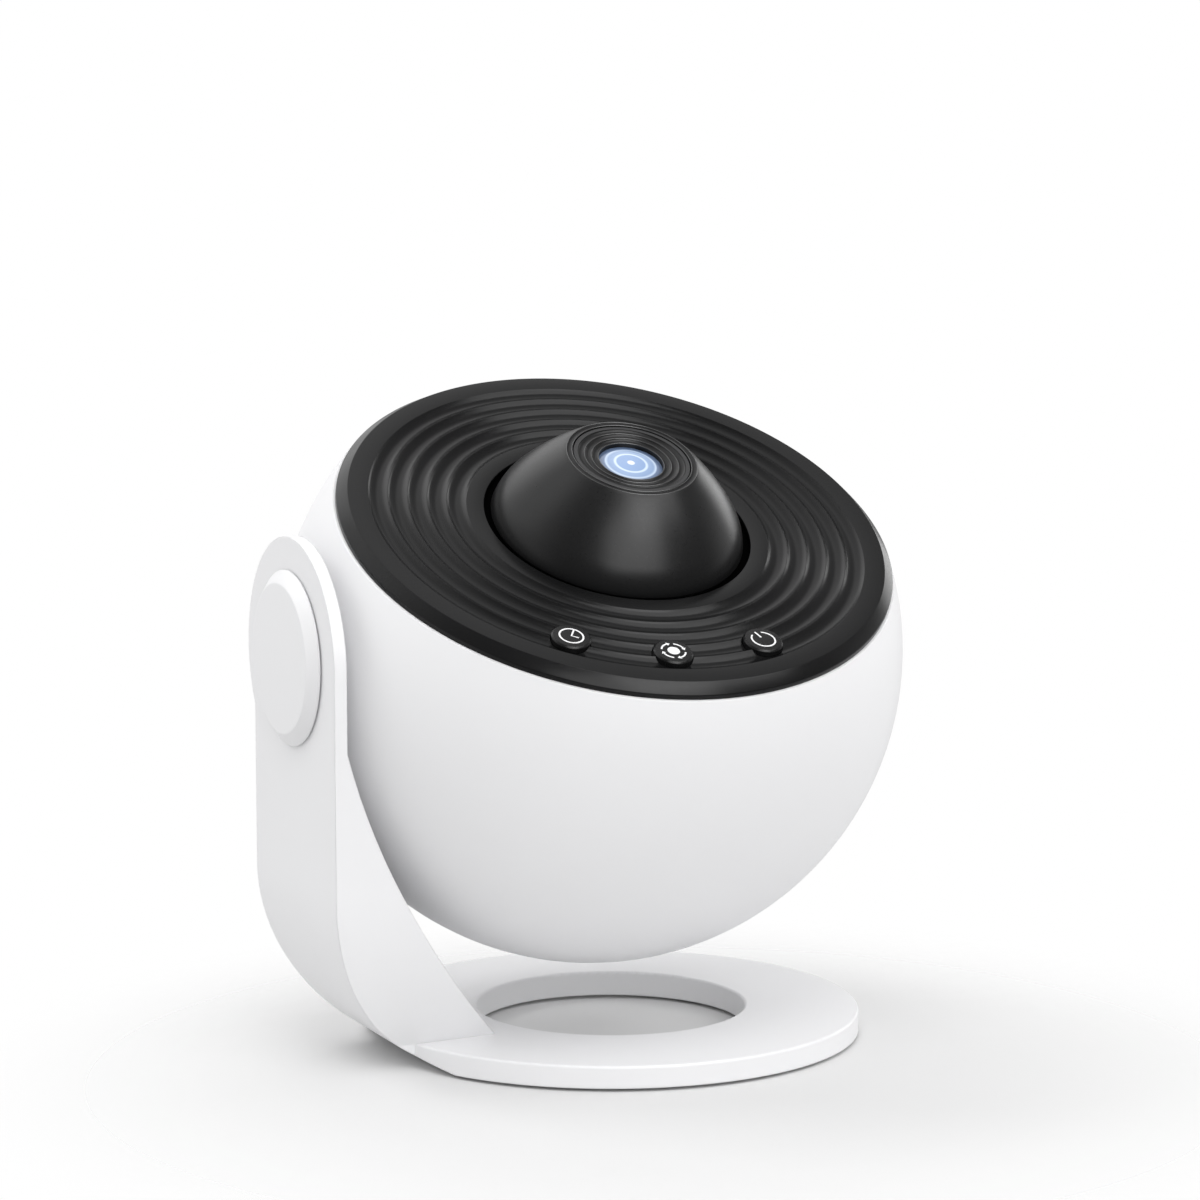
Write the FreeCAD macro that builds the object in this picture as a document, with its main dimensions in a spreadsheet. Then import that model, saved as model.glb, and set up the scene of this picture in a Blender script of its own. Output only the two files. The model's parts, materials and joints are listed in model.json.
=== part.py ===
"""Tilting ball projector lamp on a ring stand, built as separate pieces.

Row frame: millimetres, +Z up, origin on the floor under the middle of the object.
The head has its own axes: origin at the ball's centre, +Z along the light's axis,
+X along the pivot. Rest pose: the light's axis leans towards -Y by the tilt.
"""
import FreeCAD
import Part
import Sketcher
import math
import operator
import os
import types

RIPPLES = 5
BUTTON_NAMES = ("timer", "mode", "power")
FILM_TEETH = 40
PINION_TEETH = 10
TOOTH_TIP = 0.8
TOOTH_FOOT = 1.15
TOOTH_FLANK = 20.0
HEAT_FINS = 4
HOOD_STEPS = 4
SCREW_COUNT = 3
PIN_COUNT = 3
# How far a blind screw hole, and the screw in it, reach into the piece that is held
HOLE_SHARE = 0.8
BITE_SHARE = 0.7

# Driving dimensions, in millimetres and degrees
DRIVING = {
    # Ball and its place on the stand
    "ball_radius": 65.0,
    "ball_wall": 2.2,
    "face_cut": 28.6,
    "head_tilt": 26.4,
    "head_shift": 4.15,
    "pivot_rise": 3.4,
    "pivot_height": 84.0,
    # Fits shared by many pieces
    "running_gap": 0.06,
    "seat_gap": 0.05,
    "loose_gap": 0.3,
    "hole_gap": 0.15,
    # Stand
    "ring_radius": 52.15,
    "ring_hole": 28.2,
    "ring_edge": 5.1,
    "ring_rise": 0.6,
    "ring_round": 0.5,
    "foot_gap": 0.5,
    "arm_plate": 2.7,
    "arm_radius": 24.5,
    "arm_back": 21.0,
    "arm_foot_front": 14.4,
    "arm_foot_back": 14.0,
    "arm_bend": 40.5,
    "arm_bend_top": 38.0,
    "arm_inner_bend": 140.0,
    "arm_inner_top": 68.0,
    "arm_inner_foot": 28.1,
    "ball_relief": 0.8,
    "weight_inner": 31.0,
    "weight_outer": 44.5,
    "weight_thick": 2.0,
    "pad_thick": 1.1,
    # Pivot
    "pivot_flat_depth": 1.6,
    "boss_radius": 10.8,
    "boss_depth": 4.4,
    "hub_radius": 7.0,
    "hub_flange": 2.0,
    "bush_wall": 1.5,
    "friction_thick": 0.7,
    "counterbore_radius": 12.0,
    "counterbore_depth": 1.2,
    "spring_thick": 0.5,
    "clamp_thick": 0.7,
    "clamp_radius": 10.0,
    "pivot_screw_radius": 2.0,
    "pivot_head_radius": 4.0,
    "pivot_head": 1.4,
    "cap_gap": 0.3,
    "cap_height": 2.2,
    "cap_radius": 17.85,
    "cap_face_radius": 15.3,
    "cap_edge": 0.3,
    "cap_wall": 0.9,
    # Face plate
    "bezel_inset": 0.5,
    "bezel_height": 3.0,
    "bezel_edge": 1.5,
    "bezel_bevel": 2.1,
    "rim_width": 4.2,
    "ripple_land": 3.65,
    "ripple_depth": 0.9,
    "plate_thick": 2.8,
    "collar_wall": 1.6,
    "collar_depth": 6.0,
    "spigot_wall": 0.8,
    # Chassis
    "ledge_drop": 8.5,
    "ledge_thick": 3.0,
    "ledge_width": 5.0,
    "chassis_thick": 3.0,
    "chassis_screw_inset": 3.2,
    # Buttons
    "button_radius": 4.05,
    "button_inset": 12.27,
    "button_first": -33.8,
    "button_step": 25.6,
    "button_rise": 0.5,
    "button_bevel": 0.35,
    "button_lip": 0.6,
    "button_lip_width": 0.9,
    "button_stem": 1.6,
    "button_board_thick": 1.2,
    "button_board_half": 5.6,
    "button_board_end": 8.4,
    "switch_side": 6.0,
    "switch_height": 3.1,
    "switch_grip": 0.7,
    # Focus turret, cam and guide
    "turret_radius": 26.45,
    "turret_gap": 1.25,
    "turret_wall": 1.6,
    "turret_shoulder": 14.0,
    "turret_shoulder_turn": 36.0,
    "turret_flank": 55.0,
    "turret_tip": 13.6,
    "turret_tip_bore": 12.25,
    "turret_shoulder_drop": 3.1,
    "turret_skirt": 5.0,
    "barrel_radius": 12.0,
    "sleeve_wall": 1.9,
    "sleeve_foot": 2.0,
    "sleeve_foot_radius": 20.5,
    "sleeve_screw_circle": 18.4,
    "guide_rise": 19.6,
    "cam_wall": 1.9,
    "cam_rise": 17.9,
    "cam_flange_rise": 13.4,
    "cam_flange_thick": 1.2,
    "cam_flange_radius": 20.0,
    "web_thick": 2.4,
    "turret_screw_circle": 18.0,
    "circlip_thick": 0.8,
    "circlip_radius": 15.2,
    "circlip_groove": 0.5,
    "pin_radius": 1.4,
    "slot_round": 1.1,
    "pin_rise": 10.0,
    "pin_root": 10.2,
    "focus_turn": 40.0,
    "focus_travel": 1.6,
    # Lens barrel
    "lens_bore": 8.6,
    "barrel_drop": 5.5,
    "barrel_rise": 14.1,
    "hood_depth": 2.2,
    "hood_radius": 11.1,
    "hood_step": 0.3,
    "hood_step_width": 1.2,
    "lens_radius": 8.5,
    "front_lens_edge": 2.2,
    "front_lens_bulge": 1.1,
    "rear_lens_edge": 2.0,
    "rear_lens_bulge": 0.9,
    "spacer_length": 4.4,
    "retainer_length": 2.0,
    "retainer_wall": 1.6,
    # Film carrier and its drive
    "film_radius": 9.0,
    "film_thick": 1.0,
    "film_clip": 0.8,
    "film_shoulder": 1.0,
    "neck_radius": 11.6,
    "neck_length": 4.5,
    "gear_module": 1.0,
    "gear_thick": 3.0,
    "gear_drop": 2.0,
    "tooth_backlash": 0.2,
    "shaft_radius": 1.5,
    "motor_radius": 8.0,
    "motor_length": 16.0,
    "motor_boss": 3.0,
    "motor_screw_circle": 5.6,
    # Optics deck, lamp and cooling
    "deck_drop": 10.0,
    "deck_thick": 2.0,
    "deck_radius": 34.0,
    "deck_bore": 10.0,
    "deck_seat_wall": 3.0,
    "pillar_circle": 28.0,
    "pillar_radius": 2.5,
    "pillar_stud": 1.2,
    "pillar_thread": 5.0,
    "housing_radius": 15.0,
    "housing_bore": 11.0,
    "housing_throat": 9.0,
    "housing_length": 16.0,
    "housing_shoulder": 8.0,
    "housing_screw_circle": 13.0,
    "condenser_edge": 2.5,
    "condenser_bulge": 3.5,
    "condenser_ring_wall": 1.6,
    "condenser_ring_length": 2.4,
    "led_board_thick": 1.6,
    "led_radius": 3.0,
    "led_height": 1.2,
    "led_dome": 2.4,
    "led_dome_rise": 1.7,
    "sink_plate": 3.4,
    "sink_core": 4.5,
    "sink_fin_radius": 10.5,
    "sink_fin": 1.2,
    "sink_pitch": 3.2,
    # Control board
    "main_board_width": 40.0,
    "main_board_depth": 15.0,
    "main_board_place": 36.0,
    "main_board_thick": 1.6,
    "post_length": 6.4,
    "post_radius": 3.0,
    "post_spacing": 15.0,
    "chip_side": 8.0,
    "chip_height": 1.2,
    "capacitor_radius": 3.0,
    "capacitor_height": 7.0,
    # Power inlet
    "inlet_level": -25.0,
    "socket_width": 9.0,
    "socket_height": 3.2,
    "socket_length": 7.3,
    "socket_depth": 6.2,
    "socket_round": 1.3,
    "socket_wall": 0.35,
    "tongue_thick": 0.7,
    "tongue_width": 6.7,
    "recess_width": 15.0,
    "recess_height": 8.0,
    "recess_round": 2.5,
    "recess_depth": 1.4,
    "inlet_board_width": 18.0,
    "inlet_board_depth": 11.0,
    "inlet_board_thick": 1.2,
    "inlet_screw_spacing": 7.0,
    "shelf_thick": 2.8,
    # Small screws
    "screw_radius": 1.0,
    "screw_head_radius": 1.8,
    "screw_head": 1.2,
    "small_screw_radius": 0.7,
    "small_screw_head_radius": 1.4,
    "small_screw_head": 1.0,
}

doc = FreeCAD.newDocument("BallProjector")
sheet = doc.addObject("Spreadsheet::Sheet", "Sizes")
for row, (alias, number) in enumerate(DRIVING.items(), start=1):
    sheet.set("A%d" % row, alias.replace("_", " "))
    sheet.set("B%d" % row, str(number))
    sheet.setAlias("B%d" % row, alias)
doc.recompute()


class Size:
    """A number that remembers the sheet formula it comes from."""

    def __init__(self, value, formula):
        self.value = value
        self.formula = formula

    def __add__(self, other):
        return joined(self, other, operator.add, "+")

    def __radd__(self, other):
        return joined(other, self, operator.add, "+")

    def __sub__(self, other):
        return joined(self, other, operator.sub, "-")

    def __rsub__(self, other):
        return joined(other, self, operator.sub, "-")

    def __mul__(self, other):
        return joined(self, other, operator.mul, "*")

    def __rmul__(self, other):
        return joined(other, self, operator.mul, "*")

    def __truediv__(self, other):
        return joined(self, other, operator.truediv, "/")

    def __neg__(self):
        return joined(0, self, operator.sub, "-")


def sized(number):
    """Any number as a Size."""
    if isinstance(number, Size):
        return number
    return Size(float(number), "%.9g" % number)


def joined(left, right, action, sign):
    """Two sizes joined by one arithmetic step, in value and in formula."""
    left = sized(left)
    right = sized(right)
    return Size(action(left.value, right.value), "(%s %s %s)" % (left.formula, sign, right.formula))


def root(size):
    return Size(math.sqrt(size.value), "sqrt(%s)" % size.formula)


def sine(size):
    return Size(math.sin(math.radians(size.value)), "sin(%s)" % size.formula)


def cosine(size):
    return Size(math.cos(math.radians(size.value)), "cos(%s)" % size.formula)


def side(long_side, other_side):
    """The third side of a right triangle with this longest side."""
    return root(long_side * long_side - other_side * other_side)


def bow(chord, height):
    """Radius of the arc that rises by this height over this chord."""
    return chord * chord / (8 * height) + height / 2


s = types.SimpleNamespace(**{alias: Size(number, "Sizes." + alias) for alias, number in DRIVING.items()})


# Places worked out from the driving dimensions
bore_radius = s.ball_radius - s.ball_wall
rim_radius = side(s.ball_radius, s.face_cut)
rim_bore = side(bore_radius, s.face_cut)
pivot_flat = s.ball_radius - s.pivot_flat_depth
arm_in = pivot_flat + s.friction_thick
arm_out = arm_in + s.arm_plate
counterbore_floor = arm_out - s.counterbore_depth
cap_rim = arm_out + s.cap_gap
cap_face = cap_rim + s.cap_height
ball_x = (cap_face - s.ball_radius) / 2
ball_z = s.pivot_height - s.pivot_rise * cosine(s.head_tilt)
ring_x = ball_x + s.head_shift
pivot_y = -s.pivot_rise * sine(s.head_tilt)
plate_radius = rim_radius - s.bezel_inset
bezel_top = s.face_cut + s.bezel_height
plate_low = bezel_top - s.plate_thick
ledge_top = s.face_cut - s.ledge_drop
chassis_top = ledge_top + s.chassis_thick
chassis_radius = rim_bore - s.loose_gap
ledge_bore = rim_bore - s.ledge_width
button_circle = rim_radius - s.button_inset
board_top = chassis_top + s.button_board_thick
switch_top = board_top + s.switch_height
sleeve_seat = chassis_top + s.sleeve_foot
guide_bore = s.barrel_radius + s.running_gap
guide_radius = guide_bore + s.sleeve_wall
cam_bore = guide_radius + s.running_gap
cam_radius = cam_bore + s.cam_wall
cam_top = chassis_top + s.cam_rise
flange_low = chassis_top + s.cam_flange_rise
web_low = flange_low + s.cam_flange_thick
pin_level = chassis_top + s.pin_rise
barrel_low = pin_level - s.barrel_drop
barrel_top = pin_level + s.barrel_rise
hood_low = barrel_top - s.hood_depth
gear_top = ledge_top - s.gear_drop
gear_low = gear_top - s.gear_thick
deck_top = ledge_top - s.deck_drop
deck_low = deck_top - s.deck_thick
housing_low = deck_low - s.housing_length
housing_shelf = deck_low - s.housing_shoulder
sink_top = housing_low - s.led_board_thick
film_pitch = s.gear_module * (FILM_TEETH / 2)
pinion_pitch = s.gear_module * (PINION_TEETH / 2)
pinion_y = -(film_pitch + pinion_pitch)
post_low = ledge_top - s.post_length
inlet_board_top = s.inlet_level - s.socket_height / 2
shelf_top = inlet_board_top - s.inlet_board_thick
shelf_low = shelf_top - s.shelf_thick
inlet_face = side(s.ball_radius, s.inlet_level) - s.recess_depth
socket_back = inlet_face - s.socket_length
shelf_reach = side(s.ball_radius, shelf_low) - s.ball_wall / 4
shelf_half = s.inlet_board_width / 2 + s.loose_gap
inlet_board_out = side(side(bore_radius, shelf_top), shelf_half) - s.loose_gap
inlet_board_y = inlet_board_out - s.inlet_board_depth / 2


def in_head(across=0, back=0, along=0):
    """Place of a head piece, from where it sits in the head's own axes."""
    back = sized(back)
    along = sized(along)
    lean = sine(s.head_tilt)
    rise = cosine(s.head_tilt)
    return (ball_x + across, back * rise - along * lean, ball_z + back * lean + along * rise, s.head_tilt)


on_stand = (ring_x, pivot_y, sized(0), sized(0))
at_pivot = (ball_x, pivot_y, s.pivot_height, sized(0))
at_hub = in_head(along=s.pivot_rise)


class Ring:
    """A circle in a sketch."""

    def __init__(self, across, up, radius):
        self.across = sized(across)
        self.up = sized(up)
        self.radius = sized(radius)


def bind(thing, path, size):
    """Tie a property to the sheet, where its size comes from the sheet."""
    if "Sizes." in size.formula:
        thing.setExpression(path, size.formula)


def new_body(label, place):
    """An empty body with its label and its place in the row frame."""
    body = doc.addObject("PartDesign::Body", label)
    body.Label = label
    body.AllowCompound = True
    across, back, up, lean = place
    turn = FreeCAD.Rotation(FreeCAD.Vector(1, 0, 0), lean.value)
    body.Placement = FreeCAD.Placement(FreeCAD.Vector(across.value, back.value, up.value), turn)
    bind(body, "Placement.Base.x", across)
    bind(body, "Placement.Base.y", back)
    bind(body, "Placement.Base.z", up)
    bind(body, "Placement.Rotation.Angle", lean)
    return body


def pin_point(rules, ties, edge, end, across, up):
    """Hold one point of a sketch at its place."""
    for kind, axis, size in (("DistanceX", -2, across), ("DistanceY", -1, up)):
        if abs(size.value) < 1e-9:
            rules.append(Sketcher.Constraint("PointOnObject", edge, end, axis))
        else:
            ties.append((len(rules), size))
            rules.append(Sketcher.Constraint(kind, -1, 1, edge, end, size.value))


def arc_between(start, end, radius, turn):
    """The shorter arc from start to end, anticlockwise where turn is 1."""
    chord = end - start
    middle = (start + end) * 0.5
    normal = FreeCAD.Vector(-chord.y, chord.x, 0) * (turn / chord.Length)
    centre = middle + normal * math.sqrt(max(radius * radius - chord.Length ** 2 / 4, 0))
    circle = Part.Circle(centre, FreeCAD.Vector(0, 0, 1), radius)
    ends = (start, end) if turn > 0 else (end, start)
    angles = [math.atan2(point.y - centre.y, point.x - centre.x) for point in ends]
    return Part.ArcOfCircle(circle, angles[0], angles[1])


def draw(flat, outlines, axle=None):
    """Draw closed outlines in a sketch and tie every point to its size.

    A corner is (x, y), or (x, y, radius, turn) where an arc leads up to it.
    The axle is the height of a level turning axis.
    """
    edges = []
    rules = []
    ties = []
    for outline in outlines:
        if isinstance(outline, Ring):
            centre = FreeCAD.Vector(outline.across.value, outline.up.value, 0)
            pin_point(rules, ties, len(edges), 3, outline.across, outline.up)
            ties.append((len(rules), outline.radius))
            rules.append(Sketcher.Constraint("Radius", len(edges), outline.radius.value))
            edges.append(Part.Circle(centre, FreeCAD.Vector(0, 0, 1), outline.radius.value))
            continue
        first_edge = len(edges)
        corners = [(sized(corner[0]), sized(corner[1])) + tuple(corner[2:]) for corner in outline]
        points = [FreeCAD.Vector(corner[0].value, corner[1].value, 0) for corner in corners]
        tails = []
        for step, corner in enumerate(corners):
            start = points[step - 1]
            end = points[step]
            edge = first_edge + step
            if len(corner) == 2:
                edges.append(Part.LineSegment(start, end))
                head, tail = 1, 2
            else:
                radius = sized(corner[2])
                edges.append(arc_between(start, end, radius.value, corner[3]))
                ties.append((len(rules), radius))
                rules.append(Sketcher.Constraint("Radius", edge, radius.value))
                head, tail = (1, 2) if corner[3] > 0 else (2, 1)
            tails.append((head, tail))
            pin_point(rules, ties, edge, tail, corner[0], corner[1])
        for step in range(len(corners)):
            before = step - 1 if step else len(corners) - 1
            joint = (first_edge + before, tails[before][1], first_edge + step, tails[step][0])
            rules.append(Sketcher.Constraint("Coincident", *joint))
    flat.addGeometry(edges, False)
    if axle is not None:
        axle = sized(axle)
        line = len(edges)
        reach = FreeCAD.Vector(1, 0, 0)
        level = FreeCAD.Vector(0, axle.value, 0)
        flat.addGeometry(Part.LineSegment(level, level + reach), True)
        rules.append(Sketcher.Constraint("Horizontal", line))
        rules.append(Sketcher.Constraint("DistanceX", line, 1, line, 2, 1.0))
        pin_point(rules, ties, line, 1, sized(0), axle)
    flat.addConstraint(rules)
    for index, size in ties:
        bind(flat, "Constraints[%d]" % index, size)


def sketch(body, plane, outlines, lift=0, spin=0, axle=None):
    """A sketch on one of the body's own planes, lifted along its normal."""
    lift = sized(lift)
    spin = sized(spin)
    flat = body.newObject("Sketcher::SketchObject", body.Label + "_sketch")
    support = [feature for feature in body.Origin.OriginFeatures if feature.Role == plane][0]
    flat.AttachmentSupport = (support, [""])
    flat.MapMode = "FlatFace"
    turn = FreeCAD.Rotation(FreeCAD.Vector(0, 1, 0), spin.value)
    flat.AttachmentOffset = FreeCAD.Placement(FreeCAD.Vector(0, 0, lift.value), turn)
    bind(flat, "AttachmentOffset.Base.z", lift)
    bind(flat, "AttachmentOffset.Rotation.Angle", spin)
    draw(flat, outlines, axle)
    return flat


def turned(body, outline, axis="V_Axis", axle=None, kind="Revolution"):
    """A turned solid, or a turned cut, from an outline beside its axis."""
    flat = sketch(body, "XZ_Plane", [outline], axle=axle)
    feature = body.newObject("PartDesign::" + kind, body.Label + "_turned")
    feature.Profile = flat
    feature.ReferenceAxis = (flat, [axis])
    feature.Angle = 360
    return feature


def pad(body, plane, outlines, low, high):
    """Extrude outlines from one level to another along the plane's normal."""
    feature = body.newObject("PartDesign::Pad", body.Label + "_pad")
    feature.Profile = sketch(body, plane, outlines, lift=low)
    depth = sized(high) - low
    feature.Length = depth.value
    bind(feature, "Length", depth)
    return feature


def cut(body, plane, outlines, low, high):
    """Cut outlines out between two levels along the plane's normal."""
    feature = body.newObject("PartDesign::Pocket", body.Label + "_cut")
    feature.Profile = sketch(body, plane, outlines, lift=high)
    depth = sized(high) - low
    feature.Length = depth.value
    bind(feature, "Length", depth)
    return feature


def both_ways(feature, length):
    """Make a pad or pocket run equally to both sides of its sketch."""
    length = sized(length)
    feature.SideType = "Symmetric"
    feature.Length = length.value
    bind(feature, "Length", length)


def repeat(body, feature, count):
    """Repeat a feature evenly about the body's Z axis."""
    axis = [item for item in body.Origin.OriginFeatures if item.Role == "Z_Axis"][0]
    pattern = body.newObject("PartDesign::PolarPattern", body.Label + "_pattern")
    pattern.Originals = [feature]
    pattern.Axis = (axis, [""])
    pattern.Angle = 360
    pattern.Occurrences = count
    body.Tip = pattern


def around(count, radius, first=0.0):
    """Spots spaced evenly on a circle from a first angle, as (x, y)."""
    turns = [math.radians(first + 360.0 * step / count) for step in range(count)]
    return [(radius * round(math.cos(turn), 9), radius * round(math.sin(turn), 9)) for turn in turns]


def holes(spots, radius):
    """Circles of one radius at these spots."""
    return [Ring(across, up, radius) for across, up in spots]


def rounded(width, height, radius, across=0, up=0):
    """A rectangle with rounded corners about a middle point."""
    right = across + width / 2
    left = across - width / 2
    top = up + height / 2
    low = up - height / 2
    return [
        (right - radius, low), (right, low + radius, radius, 1),
        (right, top - radius), (right - radius, top, radius, 1),
        (left + radius, top), (left, top - radius, radius, 1),
        (left, low + radius), (left + radius, low, radius, 1),
    ]


def plain(width, height, across=0, up=0):
    """A rectangle about a middle point."""
    right = across + width / 2
    left = across - width / 2
    top = up + height / 2
    low = up - height / 2
    return [(left, low), (right, low), (right, top), (left, top)]


def tube(inner, outer, low, high):
    """The turned outline of a plain ring, or of a disc where the inner radius is 0."""
    return [(inner, low), (outer, low), (outer, high), (inner, high)]


def screws(label, place, spots, length, small=False, plane="XY_Plane", facing=1):
    """A set of equal screws whose heads stand on one plane, facing along its normal."""
    body = new_body(label, place)
    shank = s.small_screw_radius if small else s.screw_radius
    head_radius = s.small_screw_head_radius if small else s.screw_head_radius
    head = s.small_screw_head if small else s.screw_head
    heads = holes(spots, head_radius)
    shanks = holes(spots, shank)
    drives = holes(spots, head_radius / 2)
    if facing > 0:
        pad(body, plane, heads, 0, head)
        pad(body, plane, shanks, -length, 0)
        cut(body, plane, drives, head / 2, head)
    else:
        pad(body, plane, heads, -head, 0)
        pad(body, plane, shanks, 0, length)
        cut(body, plane, drives, -head, -head / 2)


# Screw places shared by the screws and the pieces that they hold
hub_screw_spots = around(SCREW_COUNT, (s.hub_radius + s.boss_radius) / 2, 90)
weight_screw_spots = around(SCREW_COUNT, (s.weight_inner + s.weight_outer) / 2, 30)
chassis_screw_spots = around(SCREW_COUNT, rim_bore - s.chassis_screw_inset, 90)
sleeve_screw_spots = around(SCREW_COUNT, s.sleeve_screw_circle, 60)
turret_screw_spots = around(SCREW_COUNT, s.turret_screw_circle, 60)
pillar_spots = around(SCREW_COUNT, s.pillar_circle)
housing_screw_spots = around(SCREW_COUNT, s.housing_screw_circle, 90)
motor_screw_spots = around(2, s.motor_screw_circle)
post_spots = [(-s.post_spacing, s.main_board_place), (s.post_spacing, s.main_board_place)]
inlet_screw_spots = [(-s.inlet_screw_spacing, 0), (s.inlet_screw_spacing, 0)]


def on_face(turn):
    """A spot on the button circle, by its angle from the front."""
    return (button_circle * sine(turn), -button_circle * cosine(turn))


button_turns = [s.button_first + s.button_step * step for step in range(len(BUTTON_NAMES))]
button_spots = [on_face(turn) for turn in button_turns]
button_board_spots = [on_face(turn + s.button_step / 2) for turn in button_turns[:-1]]


def stand_frame():
    """One-piece arm and base ring."""
    body = new_body("stand_frame", on_stand)
    outer = -(arm_out + s.head_shift)
    inner = -(arm_in + s.head_shift)
    inner_foot = -(s.arm_inner_foot + s.head_shift)
    top = s.pivot_height + s.arm_radius
    bend_centre = outer + s.arm_bend
    bend_end = bend_centre - side(s.arm_bend, s.arm_bend_top - s.foot_gap)
    arm = pad(body, "XZ_Plane", [[
        (outer, top),
        (outer, s.arm_bend_top),
        (bend_end, s.foot_gap, s.arm_bend, 1),
        (inner_foot, s.foot_gap),
        (inner_foot, s.ring_edge),
        (inner, s.arm_inner_top, s.arm_inner_bend, -1),
        (inner, top),
    ]], 0, 1)
    both_ways(arm, s.arm_radius * 2)
    # Side view: round top, straight strip, sides drawn in towards the base
    front_run = s.arm_radius - s.arm_foot_front
    back_run = s.arm_back - s.arm_foot_back
    drop = s.arm_bend_top - s.ring_edge
    front_bow = (front_run * front_run + drop * drop) / (front_run * 2)
    back_bow = (back_run * back_run + drop * drop) / (back_run * 2)
    back_level = s.pivot_height - side(s.arm_radius, s.arm_back)
    clear = s.arm_radius * 2
    trim = cut(body, "YZ_Plane", [
        [(-clear, -clear), (clear, -clear), (clear, top + clear), (-clear, top + clear)],
        [
            (-s.arm_foot_front, 0),
            (s.arm_foot_back, 0),
            (s.arm_foot_back, s.ring_edge),
            (s.arm_back, s.arm_bend_top, back_bow, 1),
            (s.arm_back, back_level),
            (0, top, s.arm_radius, 1),
            (-s.arm_radius, s.pivot_height, s.arm_radius, 1),
            (-s.arm_radius, s.arm_bend_top),
            (-s.arm_foot_front, s.ring_edge, front_bow, 1),
        ],
    ], 0, 1)
    both_ways(trim, s.ring_radius * 4)
    crown = s.ring_edge + s.ring_rise
    turned(body, [
        (s.ring_hole, s.foot_gap),
        (s.ring_radius, s.foot_gap),
        (s.ring_radius, s.ring_edge - s.ring_round),
        (s.ring_radius - s.ring_round, s.ring_edge, s.ring_round, 1),
        (s.ring_hole + s.ring_round, crown),
        (s.ring_hole, crown - s.ring_round, s.ring_round, 1),
    ])
    # The arm's outer curve runs on under the edge of the ring
    under = cut(body, "XZ_Plane", [[
        (outer - s.arm_plate, s.arm_bend_top),
        (outer - s.arm_plate, 0),
        (bend_end, 0),
        (bend_end, s.foot_gap),
        (outer, s.arm_bend_top, s.arm_bend, -1),
    ]], 0, 1)
    both_ways(under, s.ring_radius * 2)
    # Room for the ball, which turns a little off its own centre
    hollow = s.pivot_height - s.pivot_rise - s.ball_relief
    near = -(s.ball_radius / 2 + s.head_shift)
    turned(body, [
        (inner, s.pivot_height),
        (inner, hollow - side(s.ball_radius, arm_in)),
        (near, hollow - side(s.ball_radius, s.ball_radius / 2), s.ball_radius, 1),
        (near, s.pivot_height),
    ], axis="Axis0", axle=s.pivot_height, kind="Groove")
    bush_hole = Ring(0, s.pivot_height, s.hub_radius + s.running_gap + s.bush_wall + s.seat_gap)
    cut(body, "YZ_Plane", [bush_hole], outer - s.arm_plate, inner + s.arm_plate)
    counterbore = Ring(0, s.pivot_height, s.counterbore_radius)
    cut(body, "YZ_Plane", [counterbore], outer - s.arm_plate, outer + s.counterbore_depth)
    pocket_top = s.pad_thick + s.weight_thick
    cut(body, "XY_Plane", [Ring(0, 0, s.weight_inner), Ring(0, 0, s.weight_outer)], 0, pocket_top)
    screw_holes = holes(weight_screw_spots, s.screw_radius + s.seat_gap)
    cut(body, "XY_Plane", screw_holes, pocket_top, s.ring_edge - s.ring_round)


def base_weight():
    """Steel ring in the underside of the base."""
    body = new_body("base_weight", on_stand)
    top = s.pad_thick + s.weight_thick
    turned(body, tube(s.weight_inner + s.seat_gap, s.weight_outer - s.seat_gap, s.pad_thick, top))
    head_room = s.pad_thick + s.screw_head
    cut(body, "XY_Plane", holes(weight_screw_spots, s.screw_head_radius + s.hole_gap), 0, head_room)
    cut(body, "XY_Plane", holes(weight_screw_spots, s.screw_radius + s.seat_gap), 0, top)


def base_pad():
    """Soft non-slip ring that the lamp stands on."""
    body = new_body("base_pad", on_stand)
    turned(body, tube(s.weight_inner + s.loose_gap, s.weight_outer - s.loose_gap, 0, s.pad_thick))


def weight_screws():
    seat = s.pad_thick + s.screw_head
    place = (ring_x, pivot_y, seat, sized(0))
    length = s.ring_edge - s.ring_round - seat - s.hole_gap
    screws("weight_screws", place, weight_screw_spots, length, facing=-1)


def arm_bush():
    """Plain bearing pressed into the arm."""
    body = new_body("arm_bush", at_pivot)
    inner = s.hub_radius + s.running_gap
    turned(body, [
        (-arm_in, inner), (-arm_in, inner + s.bush_wall),
        (-counterbore_floor, inner + s.bush_wall), (-counterbore_floor, inner),
    ], axis="H_Axis")


def pivot_cap():
    """Low cone that covers the pivot screw, pushed into the arm's counterbore."""
    body = new_body("pivot_cap", at_pivot)
    wall_out = s.counterbore_radius - s.seat_gap
    wall_in = wall_out - s.cap_wall
    ceiling = cap_face - s.cap_wall
    turned(body, [
        (-ceiling, 0),
        (-ceiling, wall_in),
        (-counterbore_floor, wall_in),
        (-counterbore_floor, wall_out),
        (-cap_rim, wall_out),
        (-cap_rim, s.cap_radius),
        (-(cap_rim + s.cap_edge), s.cap_radius),
        (-cap_face, s.cap_face_radius),
        (-cap_face, 0),
    ], axis="H_Axis")


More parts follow.
